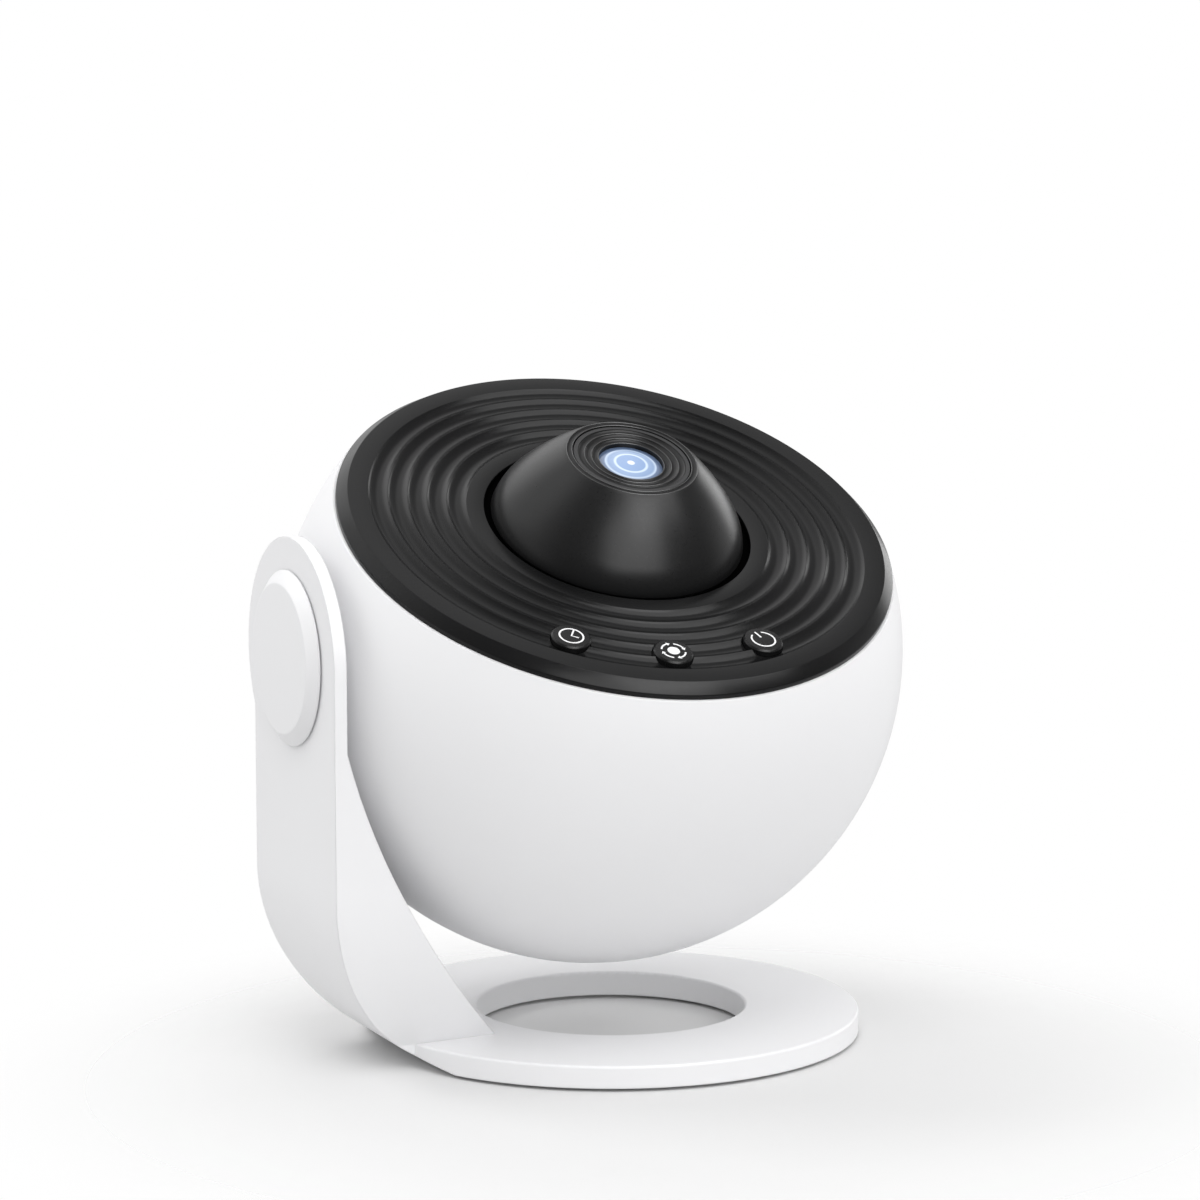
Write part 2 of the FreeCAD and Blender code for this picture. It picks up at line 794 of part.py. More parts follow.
def ball_shell():
    """Hollow ball, open at the face, with its pivot boss, ledge and inlet shelf."""
    body = new_body("ball_shell", in_head())
    ledge_low = ledge_top - s.ledge_thick
    turned(body, [
        (0, -s.ball_radius),
        (rim_radius, s.face_cut, s.ball_radius, 1),
        (rim_bore, s.face_cut),
        (side(bore_radius, ledge_top), ledge_top, bore_radius, -1),
        (ledge_bore, ledge_top),
        (ledge_bore, ledge_low),
        (side(bore_radius, ledge_low), ledge_low),
        (0, -bore_radius, bore_radius, -1),
    ])
    flat = Ring(0, 0, s.boss_radius * 2)
    cut(body, "YZ_Plane", [flat], -s.ball_radius - s.arm_plate, -pivot_flat)
    boss = Ring(0, s.pivot_rise, s.boss_radius)
    boss_back = -pivot_flat + s.boss_depth
    pad(body, "YZ_Plane", [boss], -pivot_flat, boss_back)
    spigot = Ring(0, s.pivot_rise, s.hub_radius + s.seat_gap)
    cut(body, "YZ_Plane", [spigot], -s.ball_radius, boss_back)
    screw_holes = [Ring(y, s.pivot_rise + z, s.small_screw_radius + s.seat_gap) for y, z in hub_screw_spots]
    cut(body, "YZ_Plane", screw_holes, boss_back - s.boss_depth * HOLE_SHARE, boss_back)
    cut(body, "XY_Plane", holes(chassis_screw_spots, s.screw_radius + s.seat_gap), ledge_low, ledge_top)
    # Shelf for the inlet board, its far edge buried in the wall
    near = inlet_board_out - s.inlet_board_depth
    pad(body, "XY_Plane", [[
        (-shelf_half, near),
        (shelf_half, near),
        (shelf_half, side(shelf_reach, shelf_half)),
        (-shelf_half, side(shelf_reach, shelf_half), shelf_reach, 1),
    ]], shelf_low, shelf_top)
    shelf_holes = [(x, inlet_board_y + y) for x, y in inlet_screw_spots]
    cut(body, "XY_Plane", holes(shelf_holes, s.small_screw_radius + s.seat_gap), shelf_low, shelf_top)
    recess = rounded(s.recess_width, s.recess_height, s.recess_round, up=s.inlet_level)
    cut(body, "XZ_Plane", [recess], -s.ball_radius, -inlet_face)
    mouth = rounded(s.socket_width + s.loose_gap * 2, s.socket_height + s.loose_gap * 2, s.socket_round,
                    up=s.inlet_level)
    cut(body, "XZ_Plane", [mouth], -s.ball_radius, -socket_back)


def front_bezel():
    """Black face plate with round ripples, pushed into the ball's rim."""
    body = new_body("front_bezel", in_head())
    recess = s.turret_radius + s.turret_gap
    collar = recess + s.collar_wall
    spigot_out = rim_bore - s.loose_gap
    spigot_in = spigot_out - s.spigot_wall
    ripple_start = plate_radius - s.bezel_bevel - s.rim_width
    pitch = (ripple_start - s.ripple_land - recess) / RIPPLES
    scoop = bow(pitch, s.ripple_depth)
    outline = [(recess, bezel_top - s.collar_depth), (recess, bezel_top)]
    outline.append((recess + s.ripple_land, bezel_top))
    for ripple in range(RIPPLES - 1, -1, -1):
        outline.append((ripple_start - pitch * ripple, bezel_top, scoop, 1))
    outline += [
        (plate_radius - s.bezel_bevel, bezel_top),
        (plate_radius, bezel_top - s.bezel_edge),
        (plate_radius, s.face_cut),
        (spigot_out, s.face_cut),
        (spigot_out, chassis_top),
        (spigot_in, chassis_top),
        (spigot_in, plate_low),
        (collar, plate_low),
        (collar, bezel_top - s.collar_depth),
    ]
    turned(body, outline)
    button_holes = holes(button_spots, s.button_radius + s.hole_gap)
    cut(body, "XY_Plane", button_holes, plate_low, bezel_top + s.button_rise)


def chassis_plate():
    """Round plate that carries everything inside the head."""
    body = new_body("chassis_plate", in_head())
    turned(body, tube(s.neck_radius + s.running_gap, chassis_radius, ledge_top, chassis_top))
    pad(body, "XY_Plane", holes(post_spots, s.post_radius), post_low, ledge_top)
    cut(body, "XY_Plane", holes(post_spots, s.small_screw_radius + s.seat_gap), post_low, ledge_top)
    for spots, radius in (
        (chassis_screw_spots, s.screw_radius + s.hole_gap),
        (sleeve_screw_spots, s.small_screw_radius + s.seat_gap),
        (pillar_spots, s.pillar_stud + s.seat_gap),
        (button_board_spots, s.small_screw_radius + s.seat_gap),
    ):
        cut(body, "XY_Plane", holes(spots, radius), ledge_top, chassis_top)


def chassis_screws():
    length = s.chassis_thick + s.ledge_thick * BITE_SHARE
    screws("chassis_screws", in_head(along=chassis_top), chassis_screw_spots, length)


def pivot_hub():
    """Flanged hub whose spigot carries the head in the arm's bush."""
    body = new_body("pivot_hub", at_hub)
    seat = pivot_flat - s.boss_depth
    hole = s.pivot_screw_radius + s.seat_gap
    turned(body, [
        (-(seat - s.hub_flange), hole),
        (-(seat - s.hub_flange), s.boss_radius),
        (-seat, s.boss_radius),
        (-seat, s.hub_radius),
        (-(counterbore_floor - s.seat_gap), s.hub_radius),
        (-(counterbore_floor - s.seat_gap), hole),
    ], axis="H_Axis")
    screw_holes = holes(hub_screw_spots, s.small_screw_radius + s.seat_gap)
    cut(body, "YZ_Plane", screw_holes, -seat, -(seat - s.hub_flange))


def hub_screws():
    place = in_head(across=s.boss_depth + s.hub_flange - pivot_flat, along=s.pivot_rise)
    length = s.hub_flange + s.boss_depth * BITE_SHARE
    screws("hub_screws", place, hub_screw_spots, length, small=True, plane="YZ_Plane")


def pivot_washer(label, inner, outer, start, thick):
    """A flat washer on the pivot."""
    body = new_body(label, at_hub)
    turned(body, [(-start, inner), (-start, outer), (-(start + thick), outer), (-(start + thick), inner)],
           axis="H_Axis")


def pivot_stack():
    """Friction washer, spring washer, clamp washer and the screw that loads them."""
    pivot_washer("friction_washer", s.hub_radius + s.seat_gap, s.boss_radius - s.loose_gap,
                 pivot_flat, s.friction_thick)
    bore = s.pivot_screw_radius + s.seat_gap
    pivot_washer("spring_washer", bore, s.clamp_radius - s.loose_gap, counterbore_floor, s.spring_thick)
    clamp_start = counterbore_floor + s.spring_thick
    pivot_washer("clamp_washer", bore, s.clamp_radius, clamp_start, s.clamp_thick)
    body = new_body("pivot_screw", at_hub)
    seat = clamp_start + s.clamp_thick
    tip = pivot_flat - s.boss_depth
    head = seat + s.pivot_head
    turned(body, [
        (-tip, 0),
        (-tip, s.pivot_screw_radius),
        (-seat, s.pivot_screw_radius),
        (-seat, s.pivot_head_radius),
        (-head, s.pivot_head_radius),
        (-head, s.pivot_screw_radius),
        (-(head - s.pivot_head / 2), s.pivot_screw_radius),
        (-(head - s.pivot_head / 2), 0),
    ], axis="H_Axis")


def guide_sleeve():
    """Fixed sleeve with straight slots, in which the lens barrel slides."""
    body = new_body("guide_sleeve", in_head())
    top = chassis_top + s.guide_rise
    groove_low = cam_top + s.seat_gap
    groove_top = groove_low + s.circlip_thick + s.seat_gap
    turned(body, [
        (guide_bore, chassis_top),
        (s.sleeve_foot_radius, chassis_top),
        (s.sleeve_foot_radius, sleeve_seat),
        (guide_radius, sleeve_seat),
        (guide_radius, groove_low),
        (guide_radius - s.circlip_groove, groove_low),
        (guide_radius - s.circlip_groove, groove_top),
        (guide_radius, groove_top),
        (guide_radius, top),
        (guide_bore, top),
    ])
    width = (s.pin_radius + s.seat_gap) * 2
    slot = rounded(width, width + (s.focus_travel + s.hole_gap) * 2, s.slot_round, up=pin_level)
    slots = cut(body, "YZ_Plane", [slot], 0, s.sleeve_foot_radius)
    repeat(body, slots, PIN_COUNT)
    screw_holes = holes(sleeve_screw_spots, s.small_screw_radius + s.hole_gap)
    cut(body, "XY_Plane", screw_holes, chassis_top, sleeve_seat)


def sleeve_screws():
    screws("sleeve_screws", in_head(along=sleeve_seat), sleeve_screw_spots,
           s.sleeve_foot + s.chassis_thick * BITE_SHARE, small=True)


def sleeve_circlip():
    """Snap ring that keeps the cam sleeve down on the guide."""
    body = new_body("sleeve_circlip", in_head())
    low = cam_top + s.seat_gap + s.seat_gap / 2
    bore = guide_radius - s.circlip_groove + s.seat_gap
    turned(body, tube(bore, s.circlip_radius, low, low + s.circlip_thick))
    gap = plain(s.pin_radius * 2, s.circlip_radius * 2, up=s.circlip_radius)
    cut(body, "XY_Plane", [gap], low, low + s.circlip_thick)


def focus_turret():
    """Black cone that the user turns to focus."""
    body = new_body("focus_turret", in_head())
    across = cosine(s.turret_shoulder_turn)
    upward = sine(s.turret_shoulder_turn)
    shoulder_r = s.turret_radius - s.turret_shoulder
    shoulder_z = bezel_top - s.turret_shoulder_drop
    # The flank bows gently outwards and meets the shoulder without a crease
    flank_r = shoulder_r - (s.turret_flank - s.turret_shoulder) * across
    flank_z = shoulder_z - (s.turret_flank - s.turret_shoulder) * upward
    inner_shoulder = s.turret_shoulder - s.turret_wall
    inner_flank = s.turret_flank - s.turret_wall
    tip_z = flank_z + side(s.turret_flank, s.turret_tip - flank_r)
    skirt_low = bezel_top - s.turret_skirt
    web_bore = cam_radius + s.loose_gap
    web_top = web_low + s.web_thick
    turned(body, [
        (s.turret_radius, skirt_low),
        (s.turret_radius, shoulder_z),
        (shoulder_r + s.turret_shoulder * across, shoulder_z + s.turret_shoulder * upward,
         s.turret_shoulder, 1),
        (s.turret_tip, tip_z, s.turret_flank, 1),
        (s.turret_tip_bore, tip_z),
        (s.turret_tip_bore, flank_z + side(inner_flank, s.turret_tip_bore - flank_r)),
        (flank_r + side(inner_flank, web_top - flank_z), web_top, inner_flank, -1),
        (web_bore, web_top),
        (web_bore, web_low),
        (flank_r + side(inner_flank, web_low - flank_z), web_low),
        (shoulder_r + inner_shoulder * across, shoulder_z + inner_shoulder * upward, inner_flank, -1),
        (s.turret_radius - s.turret_wall, shoulder_z, inner_shoulder, -1),
        (s.turret_radius - s.turret_wall, skirt_low),
    ])
    cut(body, "XY_Plane", holes(turret_screw_spots, s.small_screw_radius + s.seat_gap),
        web_low, web_low + s.web_thick * HOLE_SHARE)


def cam_sleeve():
    """Sleeve with three helical slots that drive the lens barrel."""
    body = new_body("cam_sleeve", in_head())
    low = sleeve_seat + s.running_gap
    turned(body, [
        (cam_bore, low),
        (cam_radius, low),
        (cam_radius, flange_low),
        (s.cam_flange_radius, flange_low),
        (s.cam_flange_radius, web_low),
        (cam_radius, web_low),
        (cam_radius, cam_top),
        (cam_bore, cam_top),
    ])
    screw_holes = holes(turret_screw_spots, s.small_screw_radius + s.hole_gap)
    cut(body, "XY_Plane", screw_holes, flange_low, web_low)
    # Each slot runs past the pin's travel by the pin's own width at both ends
    run_on = (s.pin_radius + s.hole_gap) * 180 / (cam_bore * math.pi)
    sweep = (s.focus_turn + run_on) * 2
    lead = s.focus_travel * 360 / s.focus_turn
    height = lead * sweep / 360
    slot = plain(s.cam_wall + s.loose_gap * 2, (s.pin_radius + s.hole_gap) * 2,
                 across=(cam_bore + cam_radius) / 2, up=pin_level - height / 2)
    flat = sketch(body, "XZ_Plane", [slot], spin=-sweep / 2)
    helix = body.newObject("PartDesign::SubtractiveHelix", "cam_slot")
    helix.Profile = flat
    helix.ReferenceAxis = (flat, ["V_Axis"])
    helix.Mode = "pitch-height-angle"
    helix.Pitch = lead.value
    helix.Height = height.value
    bind(helix, "Pitch", lead)
    bind(helix, "Height", height)
    repeat(body, helix, PIN_COUNT)


def turret_screws():
    screws("turret_screws", in_head(along=flange_low), turret_screw_spots,
           s.cam_flange_thick + s.web_thick * BITE_SHARE, small=True, facing=-1)


def lens_barrel():
    """Tube that carries the projection lenses."""
    body = new_body("lens_barrel", in_head())
    turned(body, [
        (s.lens_bore, barrel_low),
        (s.barrel_radius, barrel_low),
        (s.barrel_radius, barrel_top),
        (s.hood_radius + s.seat_gap, barrel_top),
        (s.hood_radius + s.seat_gap, hood_low),
        (s.lens_bore, hood_low),
    ])
    hole = Ring(0, pin_level, s.pin_radius + s.seat_gap / 2)
    pin_hole = cut(body, "YZ_Plane", [hole], s.pin_root, s.barrel_radius * 2)
    repeat(body, pin_hole, PIN_COUNT)


def cam_pins():
    """Three pins through the guide's slots into the cam's slots."""
    body = new_body("cam_pins", in_head(along=pin_level))
    reach = cam_radius - s.loose_gap
    outline = [(s.pin_root, 0), (reach, 0), (reach, s.pin_radius), (s.pin_root, s.pin_radius)]
    pin = turned(body, outline, axis="H_Axis")
    repeat(body, pin, PIN_COUNT)


def lens_hood():
    """Stepped ring in front of the lens."""
    body = new_body("lens_hood", in_head())
    outline = [(hood_aperture, hood_low), (s.hood_radius, hood_low), (s.hood_radius, barrel_top)]
    for step in range(HOOD_STEPS):
        ring = s.hood_radius - s.hood_step_width * (step + 0.5)
        level = barrel_top - s.hood_step * step
        outline += [(ring, level), (ring, level - s.hood_step)]
    outline.append((hood_aperture, barrel_top - s.hood_step * HOOD_STEPS))
    turned(body, outline)


# Lens stack, from the hood down
hood_aperture = s.hood_radius - s.hood_step_width * HOOD_STEPS
front_top = hood_low - s.seat_gap
front_low = front_top - s.front_lens_edge
spacer_low = front_low - s.spacer_length
rear_low = spacer_low - s.rear_lens_edge
retainer_low = rear_low - s.retainer_length


def front_lens():
    """Domed front glass."""
    body = new_body("front_lens", in_head())
    dome = hood_aperture - s.loose_gap
    turned(body, [
        (0, front_low),
        (s.lens_radius, front_low),
        (s.lens_radius, front_top),
        (dome, front_top),
        (0, front_top + s.front_lens_bulge, bow(dome * 2, s.front_lens_bulge), 1),
    ])


def lens_spacer():
    body = new_body("lens_spacer", in_head())
    turned(body, tube(s.lens_radius - s.retainer_wall, s.lens_radius, spacer_low, front_low))


def rear_lens():
    """Second projection glass, domed towards the film."""
    body = new_body("rear_lens", in_head())
    inner = s.lens_radius - s.retainer_wall
    turned(body, [
        (0, rear_low - s.rear_lens_bulge),
        (inner - s.loose_gap, rear_low, bow((inner - s.loose_gap) * 2, s.rear_lens_bulge), 1),
        (s.lens_radius, rear_low),
        (s.lens_radius, spacer_low),
        (0, spacer_low),
    ])


def lens_retainer():
    body = new_body("lens_retainer", in_head())
    turned(body, tube(s.lens_radius - s.retainer_wall, s.lens_radius, retainer_low, rear_low))


def geared(body, teeth, pitch, low, high):
    """Add straight-flanked teeth round a disc."""
    half = s.gear_module * (math.pi / 4) - s.tooth_backlash
    lean = math.tan(math.radians(TOOTH_FLANK))
    tip = s.gear_module * TOOTH_TIP
    foot = s.gear_module * TOOTH_FOOT
    buried = pitch - foot - tip / 2
    tooth = pad(body, "XY_Plane", [[
        (buried, -(half + foot * lean)),
        (pitch - foot, -(half + foot * lean)),
        (pitch + tip, -(half - tip * lean)),
        (pitch + tip, half - tip * lean),
        (pitch - foot, half + foot * lean),
        (buried, half + foot * lean),
    ]], low, high)
    repeat(body, tooth, teeth)


def film_carrier():
    """Geared ring that turns the film, running in the chassis bore."""
    body = new_body("film_carrier", in_head())
    root_circle = film_pitch - s.gear_module * TOOTH_FOOT
    neck_top = gear_top + s.neck_length
    shelf = gear_top + s.film_shoulder
    turned(body, [
        (s.film_radius - s.film_shoulder, gear_low),
        (root_circle, gear_low),
        (root_circle, gear_top),
        (s.neck_radius, gear_top),
        (s.neck_radius, neck_top),
        (s.film_radius + s.seat_gap, neck_top),
        (s.film_radius + s.seat_gap, shelf),
        (s.film_radius - s.film_shoulder, shelf),
    ])
    geared(body, FILM_TEETH, film_pitch, gear_low, gear_top)


def film_slide():
    """Picture film between glasses."""
    body = new_body("film_slide", in_head())
    low = gear_top + s.film_shoulder
    turned(body, tube(0, s.film_radius, low, low + s.film_thick))


def film_clip():
    """Spring ring over the film."""
    body = new_body("film_clip", in_head())
    low = gear_top + s.film_shoulder + s.film_thick
    turned(body, tube(s.film_radius - s.film_shoulder, s.film_radius, low, low + s.film_clip))
    gap = plain(s.shaft_radius, s.film_radius * 2, up=s.film_radius)
    cut(body, "XY_Plane", [gap], low, low + s.film_clip)


def drive_pinion():
    body = new_body("drive_pinion", in_head(back=pinion_y))
    root_circle = pinion_pitch - s.gear_module * TOOTH_FOOT
    turned(body, tube(s.shaft_radius + s.seat_gap / 2, root_circle, gear_low, gear_top))
    geared(body, PINION_TEETH, pinion_pitch, gear_low, gear_top)


motor_floor = deck_low - s.motor_length / 2


def motor_shaft():
    body = new_body("motor_shaft", in_head(back=pinion_y))
    turned(body, tube(0, s.shaft_radius, motor_floor, gear_top))


def gear_motor():
    """Slow motor under the deck, with its bearing boss through it."""
    body = new_body("gear_motor", in_head(back=pinion_y))
    low = deck_low - s.motor_length
    bore = s.shaft_radius + s.running_gap
    boss_top = deck_top + s.deck_thick / 2
    turned(body, [
        (0, low),
        (s.motor_radius, low),
        (s.motor_radius, deck_low),
        (s.motor_boss, deck_low),
        (s.motor_boss, boss_top),
        (bore, boss_top),
        (bore, motor_floor - s.hole_gap),
        (0, motor_floor - s.hole_gap),
    ])
    screw_holes = holes(motor_screw_spots, s.small_screw_radius + s.seat_gap)
    cut(body, "XY_Plane", screw_holes, motor_floor, deck_low)


def motor_screws():
    screws("motor_screws", in_head(back=pinion_y, along=deck_top), motor_screw_spots,
           s.deck_thick + s.motor_length / 4, small=True)


def optics_deck():
    """Plate under the chassis that carries the motor, the lamp and the film's seat."""
    body = new_body("optics_deck", in_head())
    seat_out = s.deck_bore + s.deck_seat_wall
    turned(body, [
        (s.deck_bore, deck_low),
        (s.deck_radius, deck_low),
        (s.deck_radius, deck_top),
        (seat_out, deck_top),
        (seat_out, gear_low - s.running_gap),
        (s.deck_bore, gear_low - s.running_gap),
    ])
    motor_spots = [(x, pinion_y + y) for x, y in motor_screw_spots]
    cut(body, "XY_Plane", [Ring(0, pinion_y, s.motor_boss + s.seat_gap)], deck_low, deck_top)
    cut(body, "XY_Plane", holes(motor_spots, s.small_screw_radius + s.hole_gap), deck_low, deck_top)
    cut(body, "XY_Plane", holes(pillar_spots, s.screw_radius + s.hole_gap), deck_low, deck_top)
    cut(body, "XY_Plane", holes(housing_screw_spots, s.screw_radius + s.seat_gap),
        deck_low, deck_low + s.deck_thick)


def deck_pillars():
    """Three studded pillars between the chassis and the deck."""
    body = new_body("deck_pillars", in_head())
    pad(body, "XY_Plane", holes(pillar_spots, s.pillar_radius), deck_top, ledge_top)
    pad(body, "XY_Plane", holes(pillar_spots, s.pillar_stud), ledge_top, chassis_top)
    threads = holes(pillar_spots, s.screw_radius + s.seat_gap)
    cut(body, "XY_Plane", threads, deck_top, deck_top + s.pillar_thread)


def deck_screws():
    length = s.deck_thick + s.pillar_thread * BITE_SHARE
    screws("deck_screws", in_head(along=deck_low), pillar_spots, length, facing=-1)


def lamp_housing():
    """Dark tube between the lamp and the film."""
    body = new_body("lamp_housing", in_head())
    turned(body, [
        (s.housing_throat, housing_low),
        (s.housing_radius, housing_low),
        (s.housing_radius, deck_low),
        (s.housing_bore, deck_low),
        (s.housing_bore, housing_shelf),
        (s.housing_throat, housing_shelf),
    ])
    cut(body, "XY_Plane", holes(housing_screw_spots, s.screw_radius + s.hole_gap), housing_low, deck_low)


def condenser_lens():
    """Thick lens that gathers the lamp's light."""
    body = new_body("condenser_lens", in_head())
    radius = s.housing_bore - s.seat_gap * 2
    edge = housing_shelf + s.condenser_edge
    turned(body, [
        (0, housing_shelf),
        (radius, housing_shelf),
        (radius, edge),
        (0, edge + s.condenser_bulge, bow(radius * 2, s.condenser_bulge), 1),
    ])


def condenser_ring():
    """Ring that holds the condenser on its shelf."""
    body = new_body("condenser_ring", in_head())
    outer = s.housing_bore - s.seat_gap
    inner = outer - s.condenser_ring_wall
    dome = bow((outer - s.seat_gap) * 2, s.condenser_bulge)
    crown = housing_shelf + s.condenser_edge + s.condenser_bulge
    low = crown - dome + side(dome, inner) + s.seat_gap
    turned(body, tube(inner, outer, low, low + s.condenser_ring_length))


def led_board():
    body = new_body("led_board", in_head())
    pad(body, "XY_Plane", [Ring(0, 0, s.housing_radius)], sink_top, housing_low)
    cut(body, "XY_Plane", holes(housing_screw_spots, s.screw_radius + s.hole_gap), sink_top, housing_low)


def led_emitter():
    """Lamp chip under its clear dome."""
    body = new_body("led_emitter", in_head())
    edge = housing_low + s.led_height
    turned(body, [
        (0, housing_low),
        (s.led_radius, housing_low),
        (s.led_radius, edge),
        (s.led_dome, edge),
        (0, edge + s.led_dome_rise, bow(s.led_dome * 2, s.led_dome_rise), 1),
    ])


def heat_sink():
    """Turned aluminium sink with round fins."""
    body = new_body("heat_sink", in_head())
    level = sink_top - s.sink_plate
    outline = [(0, sink_top), (s.housing_radius, sink_top), (s.housing_radius, level), (s.sink_core, level)]
    for fin in range(HEAT_FINS):
        fin_low = level - s.sink_pitch * (fin + 1)
        outline += [
            (s.sink_core, fin_low + s.sink_fin),
            (s.sink_fin_radius, fin_low + s.sink_fin),
            (s.sink_fin_radius, fin_low),
        ]
        if fin < HEAT_FINS - 1:
            outline.append((s.sink_core, fin_low))
    outline.append((0, level - s.sink_pitch * HEAT_FINS))
    turned(body, outline)
    cut(body, "XY_Plane", holes(housing_screw_spots, s.screw_radius + s.hole_gap), level, sink_top)


def heat_sink_screws():
    length = s.sink_plate + s.led_board_thick + s.housing_length + s.deck_thick * BITE_SHARE
    seat = sink_top - s.sink_plate
    screws("heat_sink_screws", in_head(along=seat), housing_screw_spots, length, facing=-1)


def button_board():
    """Curved board under the three buttons."""
    body = new_body("button_board", in_head())
    inner = button_circle - s.button_board_half
    outer = button_circle + s.button_board_half
    ends = (button_turns[0] - s.button_board_end, button_turns[-1] + s.button_board_end)
    start, stop = [(sine(end), -cosine(end)) for end in ends]
    pad(body, "XY_Plane", [[
        (outer * start[0], outer * start[1]),
        (outer * stop[0], outer * stop[1], outer, 1),
        (inner * stop[0], inner * stop[1]),
        (inner * start[0], inner * start[1], inner, -1),
    ]], chassis_top, board_top)
    screw_holes = holes(button_board_spots, s.small_screw_radius + s.hole_gap)
    cut(body, "XY_Plane", screw_holes, chassis_top, board_top)


def button_board_screws():
    screws("button_board_screws", in_head(along=board_top), button_board_spots,
           s.button_board_thick + s.chassis_thick * BITE_SHARE, small=True)


def switch_cases():
    """Three push switches on the button board."""
    body = new_body("switch_cases", in_head())
    cases = [plain(s.switch_side, s.switch_side, across=x, up=y) for x, y in button_spots]
    pad(body, "XY_Plane", cases, board_top, switch_top)
    wells = holes(button_spots, s.button_stem + s.hole_gap)
    cut(body, "XY_Plane", wells, board_top + s.switch_height / 4, switch_top)


def face_button(name, spot):
    """Round push button whose stem stands in its switch."""
    across, back = spot
    body = new_body(name + "_button", in_head(across, back, bezel_top))
    lip_top = -s.plate_thick - s.seat_gap
    lip_low = lip_top - s.button_lip
    lip_radius = s.button_radius + s.button_lip_width
    stem_low = switch_top - bezel_top - s.switch_grip
    turned(body, [
        (0, stem_low),
        (s.button_stem, stem_low),
        (s.button_stem, lip_low),
        (lip_radius, lip_low),
        (lip_radius, lip_top),
        (s.button_radius, lip_top),
        (s.button_radius, s.button_rise - s.button_bevel),
        (s.button_radius - s.button_bevel, s.button_rise),
        (0, s.button_rise),
    ])


def main_board():
    """Control board on the chassis posts."""
    body = new_body("main_board", in_head())
    board = rounded(s.main_board_width, s.main_board_depth, s.socket_round, up=s.main_board_place)
    under = post_low - s.main_board_thick
    pad(body, "XY_Plane", [board], under, post_low)
    cut(body, "XY_Plane", holes(post_spots, s.small_screw_radius + s.hole_gap), under, post_low)


def main_board_screws():
    screws("main_board_screws", in_head(along=post_low - s.main_board_thick), post_spots,
           s.main_board_thick + s.post_length * BITE_SHARE, small=True, facing=-1)


def board_components():
    """Controller chip, driver chip and capacitor under the control board."""
    body = new_body("board_components", in_head())
    under = post_low - s.main_board_thick
    chips = [
        plain(s.chip_side, s.chip_side, up=s.main_board_place),
        plain(s.chip_side / 2, s.chip_side / 2, across=-s.chip_side, up=s.main_board_place),
    ]
    pad(body, "XY_Plane", chips, under - s.chip_height, under)
    spot = Ring(s.chip_side, s.main_board_place + s.capacitor_radius, s.capacitor_radius)
    pad(body, "XY_Plane", [spot], under - s.capacitor_height, under)


def usb_socket():
    """Power socket, its mouth level with the recess in the ball."""
    body = new_body("usb_socket", in_head(back=inlet_face, along=s.inlet_level))
    outer = rounded(s.socket_width, s.socket_height, s.socket_round)
    pad(body, "XZ_Plane", [outer], 0, s.socket_length)
    inner = rounded(s.socket_width - s.socket_wall * 2, s.socket_height - s.socket_wall * 2,
                    s.socket_round - s.socket_wall)
    cut(body, "XZ_Plane", [inner], 0, s.socket_depth)
    tongue = plain(s.tongue_width, s.tongue_thick)
    pad(body, "XZ_Plane", [tongue], s.socket_wall * 2, s.socket_length)


def inlet_board():
    body = new_body("inlet_board", in_head(back=inlet_board_y))
    board = plain(s.inlet_board_width, s.inlet_board_depth)
    pad(body, "XY_Plane", [board], shelf_top, inlet_board_top)
    screw_holes = holes(inlet_screw_spots, s.small_screw_radius + s.hole_gap)
    cut(body, "XY_Plane", screw_holes, shelf_top, inlet_board_top)


def inlet_screws():
    screws("inlet_screws", in_head(back=inlet_board_y, along=inlet_board_top), inlet_screw_spots,
           s.inlet_board_thick + s.shelf_thick * BITE_SHARE, small=True)


PIECES = (
    stand_frame, base_weight, base_pad, weight_screws, arm_bush, pivot_cap,
    ball_shell, front_bezel, chassis_plate, chassis_screws, pivot_hub, hub_screws, pivot_stack,
    guide_sleeve, sleeve_screws, sleeve_circlip, focus_turret, cam_sleeve, turret_screws,
    lens_barrel, cam_pins, lens_hood, front_lens, lens_spacer, rear_lens, lens_retainer,
    film_carrier, film_slide, film_clip, drive_pinion, motor_shaft, gear_motor, motor_screws,
    optics_deck, deck_pillars, deck_screws, lamp_housing, condenser_lens, condenser_ring,
    led_board, led_emitter, heat_sink, heat_sink_screws, button_board, button_board_screws,
    switch_cases, main_board, main_board_screws, board_components, usb_socket, inlet_board, inlet_screws,
)

for make_piece in PIECES:
    make_piece()
for button_name, button_spot in zip(BUTTON_NAMES, button_spots):
    face_button(button_name, button_spot)
doc.recompute()

failed = [thing.Name for thing in doc.Objects if {"Invalid", "Error"} & set(thing.State)]
if failed:
    raise RuntimeError("these features failed: " + ", ".join(failed))
bodies = [thing for thing in doc.Objects if thing.TypeId == "PartDesign::Body"]
for body in bodies:
    if body.Shape.isNull() or not body.Shape.isValid() or not body.Shape.Solids:
        raise RuntimeError("no valid solid in " + body.Label)

os.makedirs("parts", exist_ok=True)
for body in bodies:
    body.Shape.exportStep(os.path.join("parts", body.Label + ".step"))
    box = body.Shape.BoundBox
    print("%-22s solids %d volume %9.1f  x %.2f %.2f  y %.2f %.2f  z %.2f %.2f" % (
        body.Label, len(body.Shape.Solids), body.Shape.Volume,
        box.XMin, box.XMax, box.YMin, box.YMax, box.ZMin, box.ZMax))
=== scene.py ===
"""Looks of the ball projector lamp: finer turned pieces, materials, light and camera.

Lengths of pieces are millimetres in each piece's own axes; objects stand in the row frame in metres.
"""
import json
import math

import bmesh
import bpy
from mathutils import Matrix, Vector


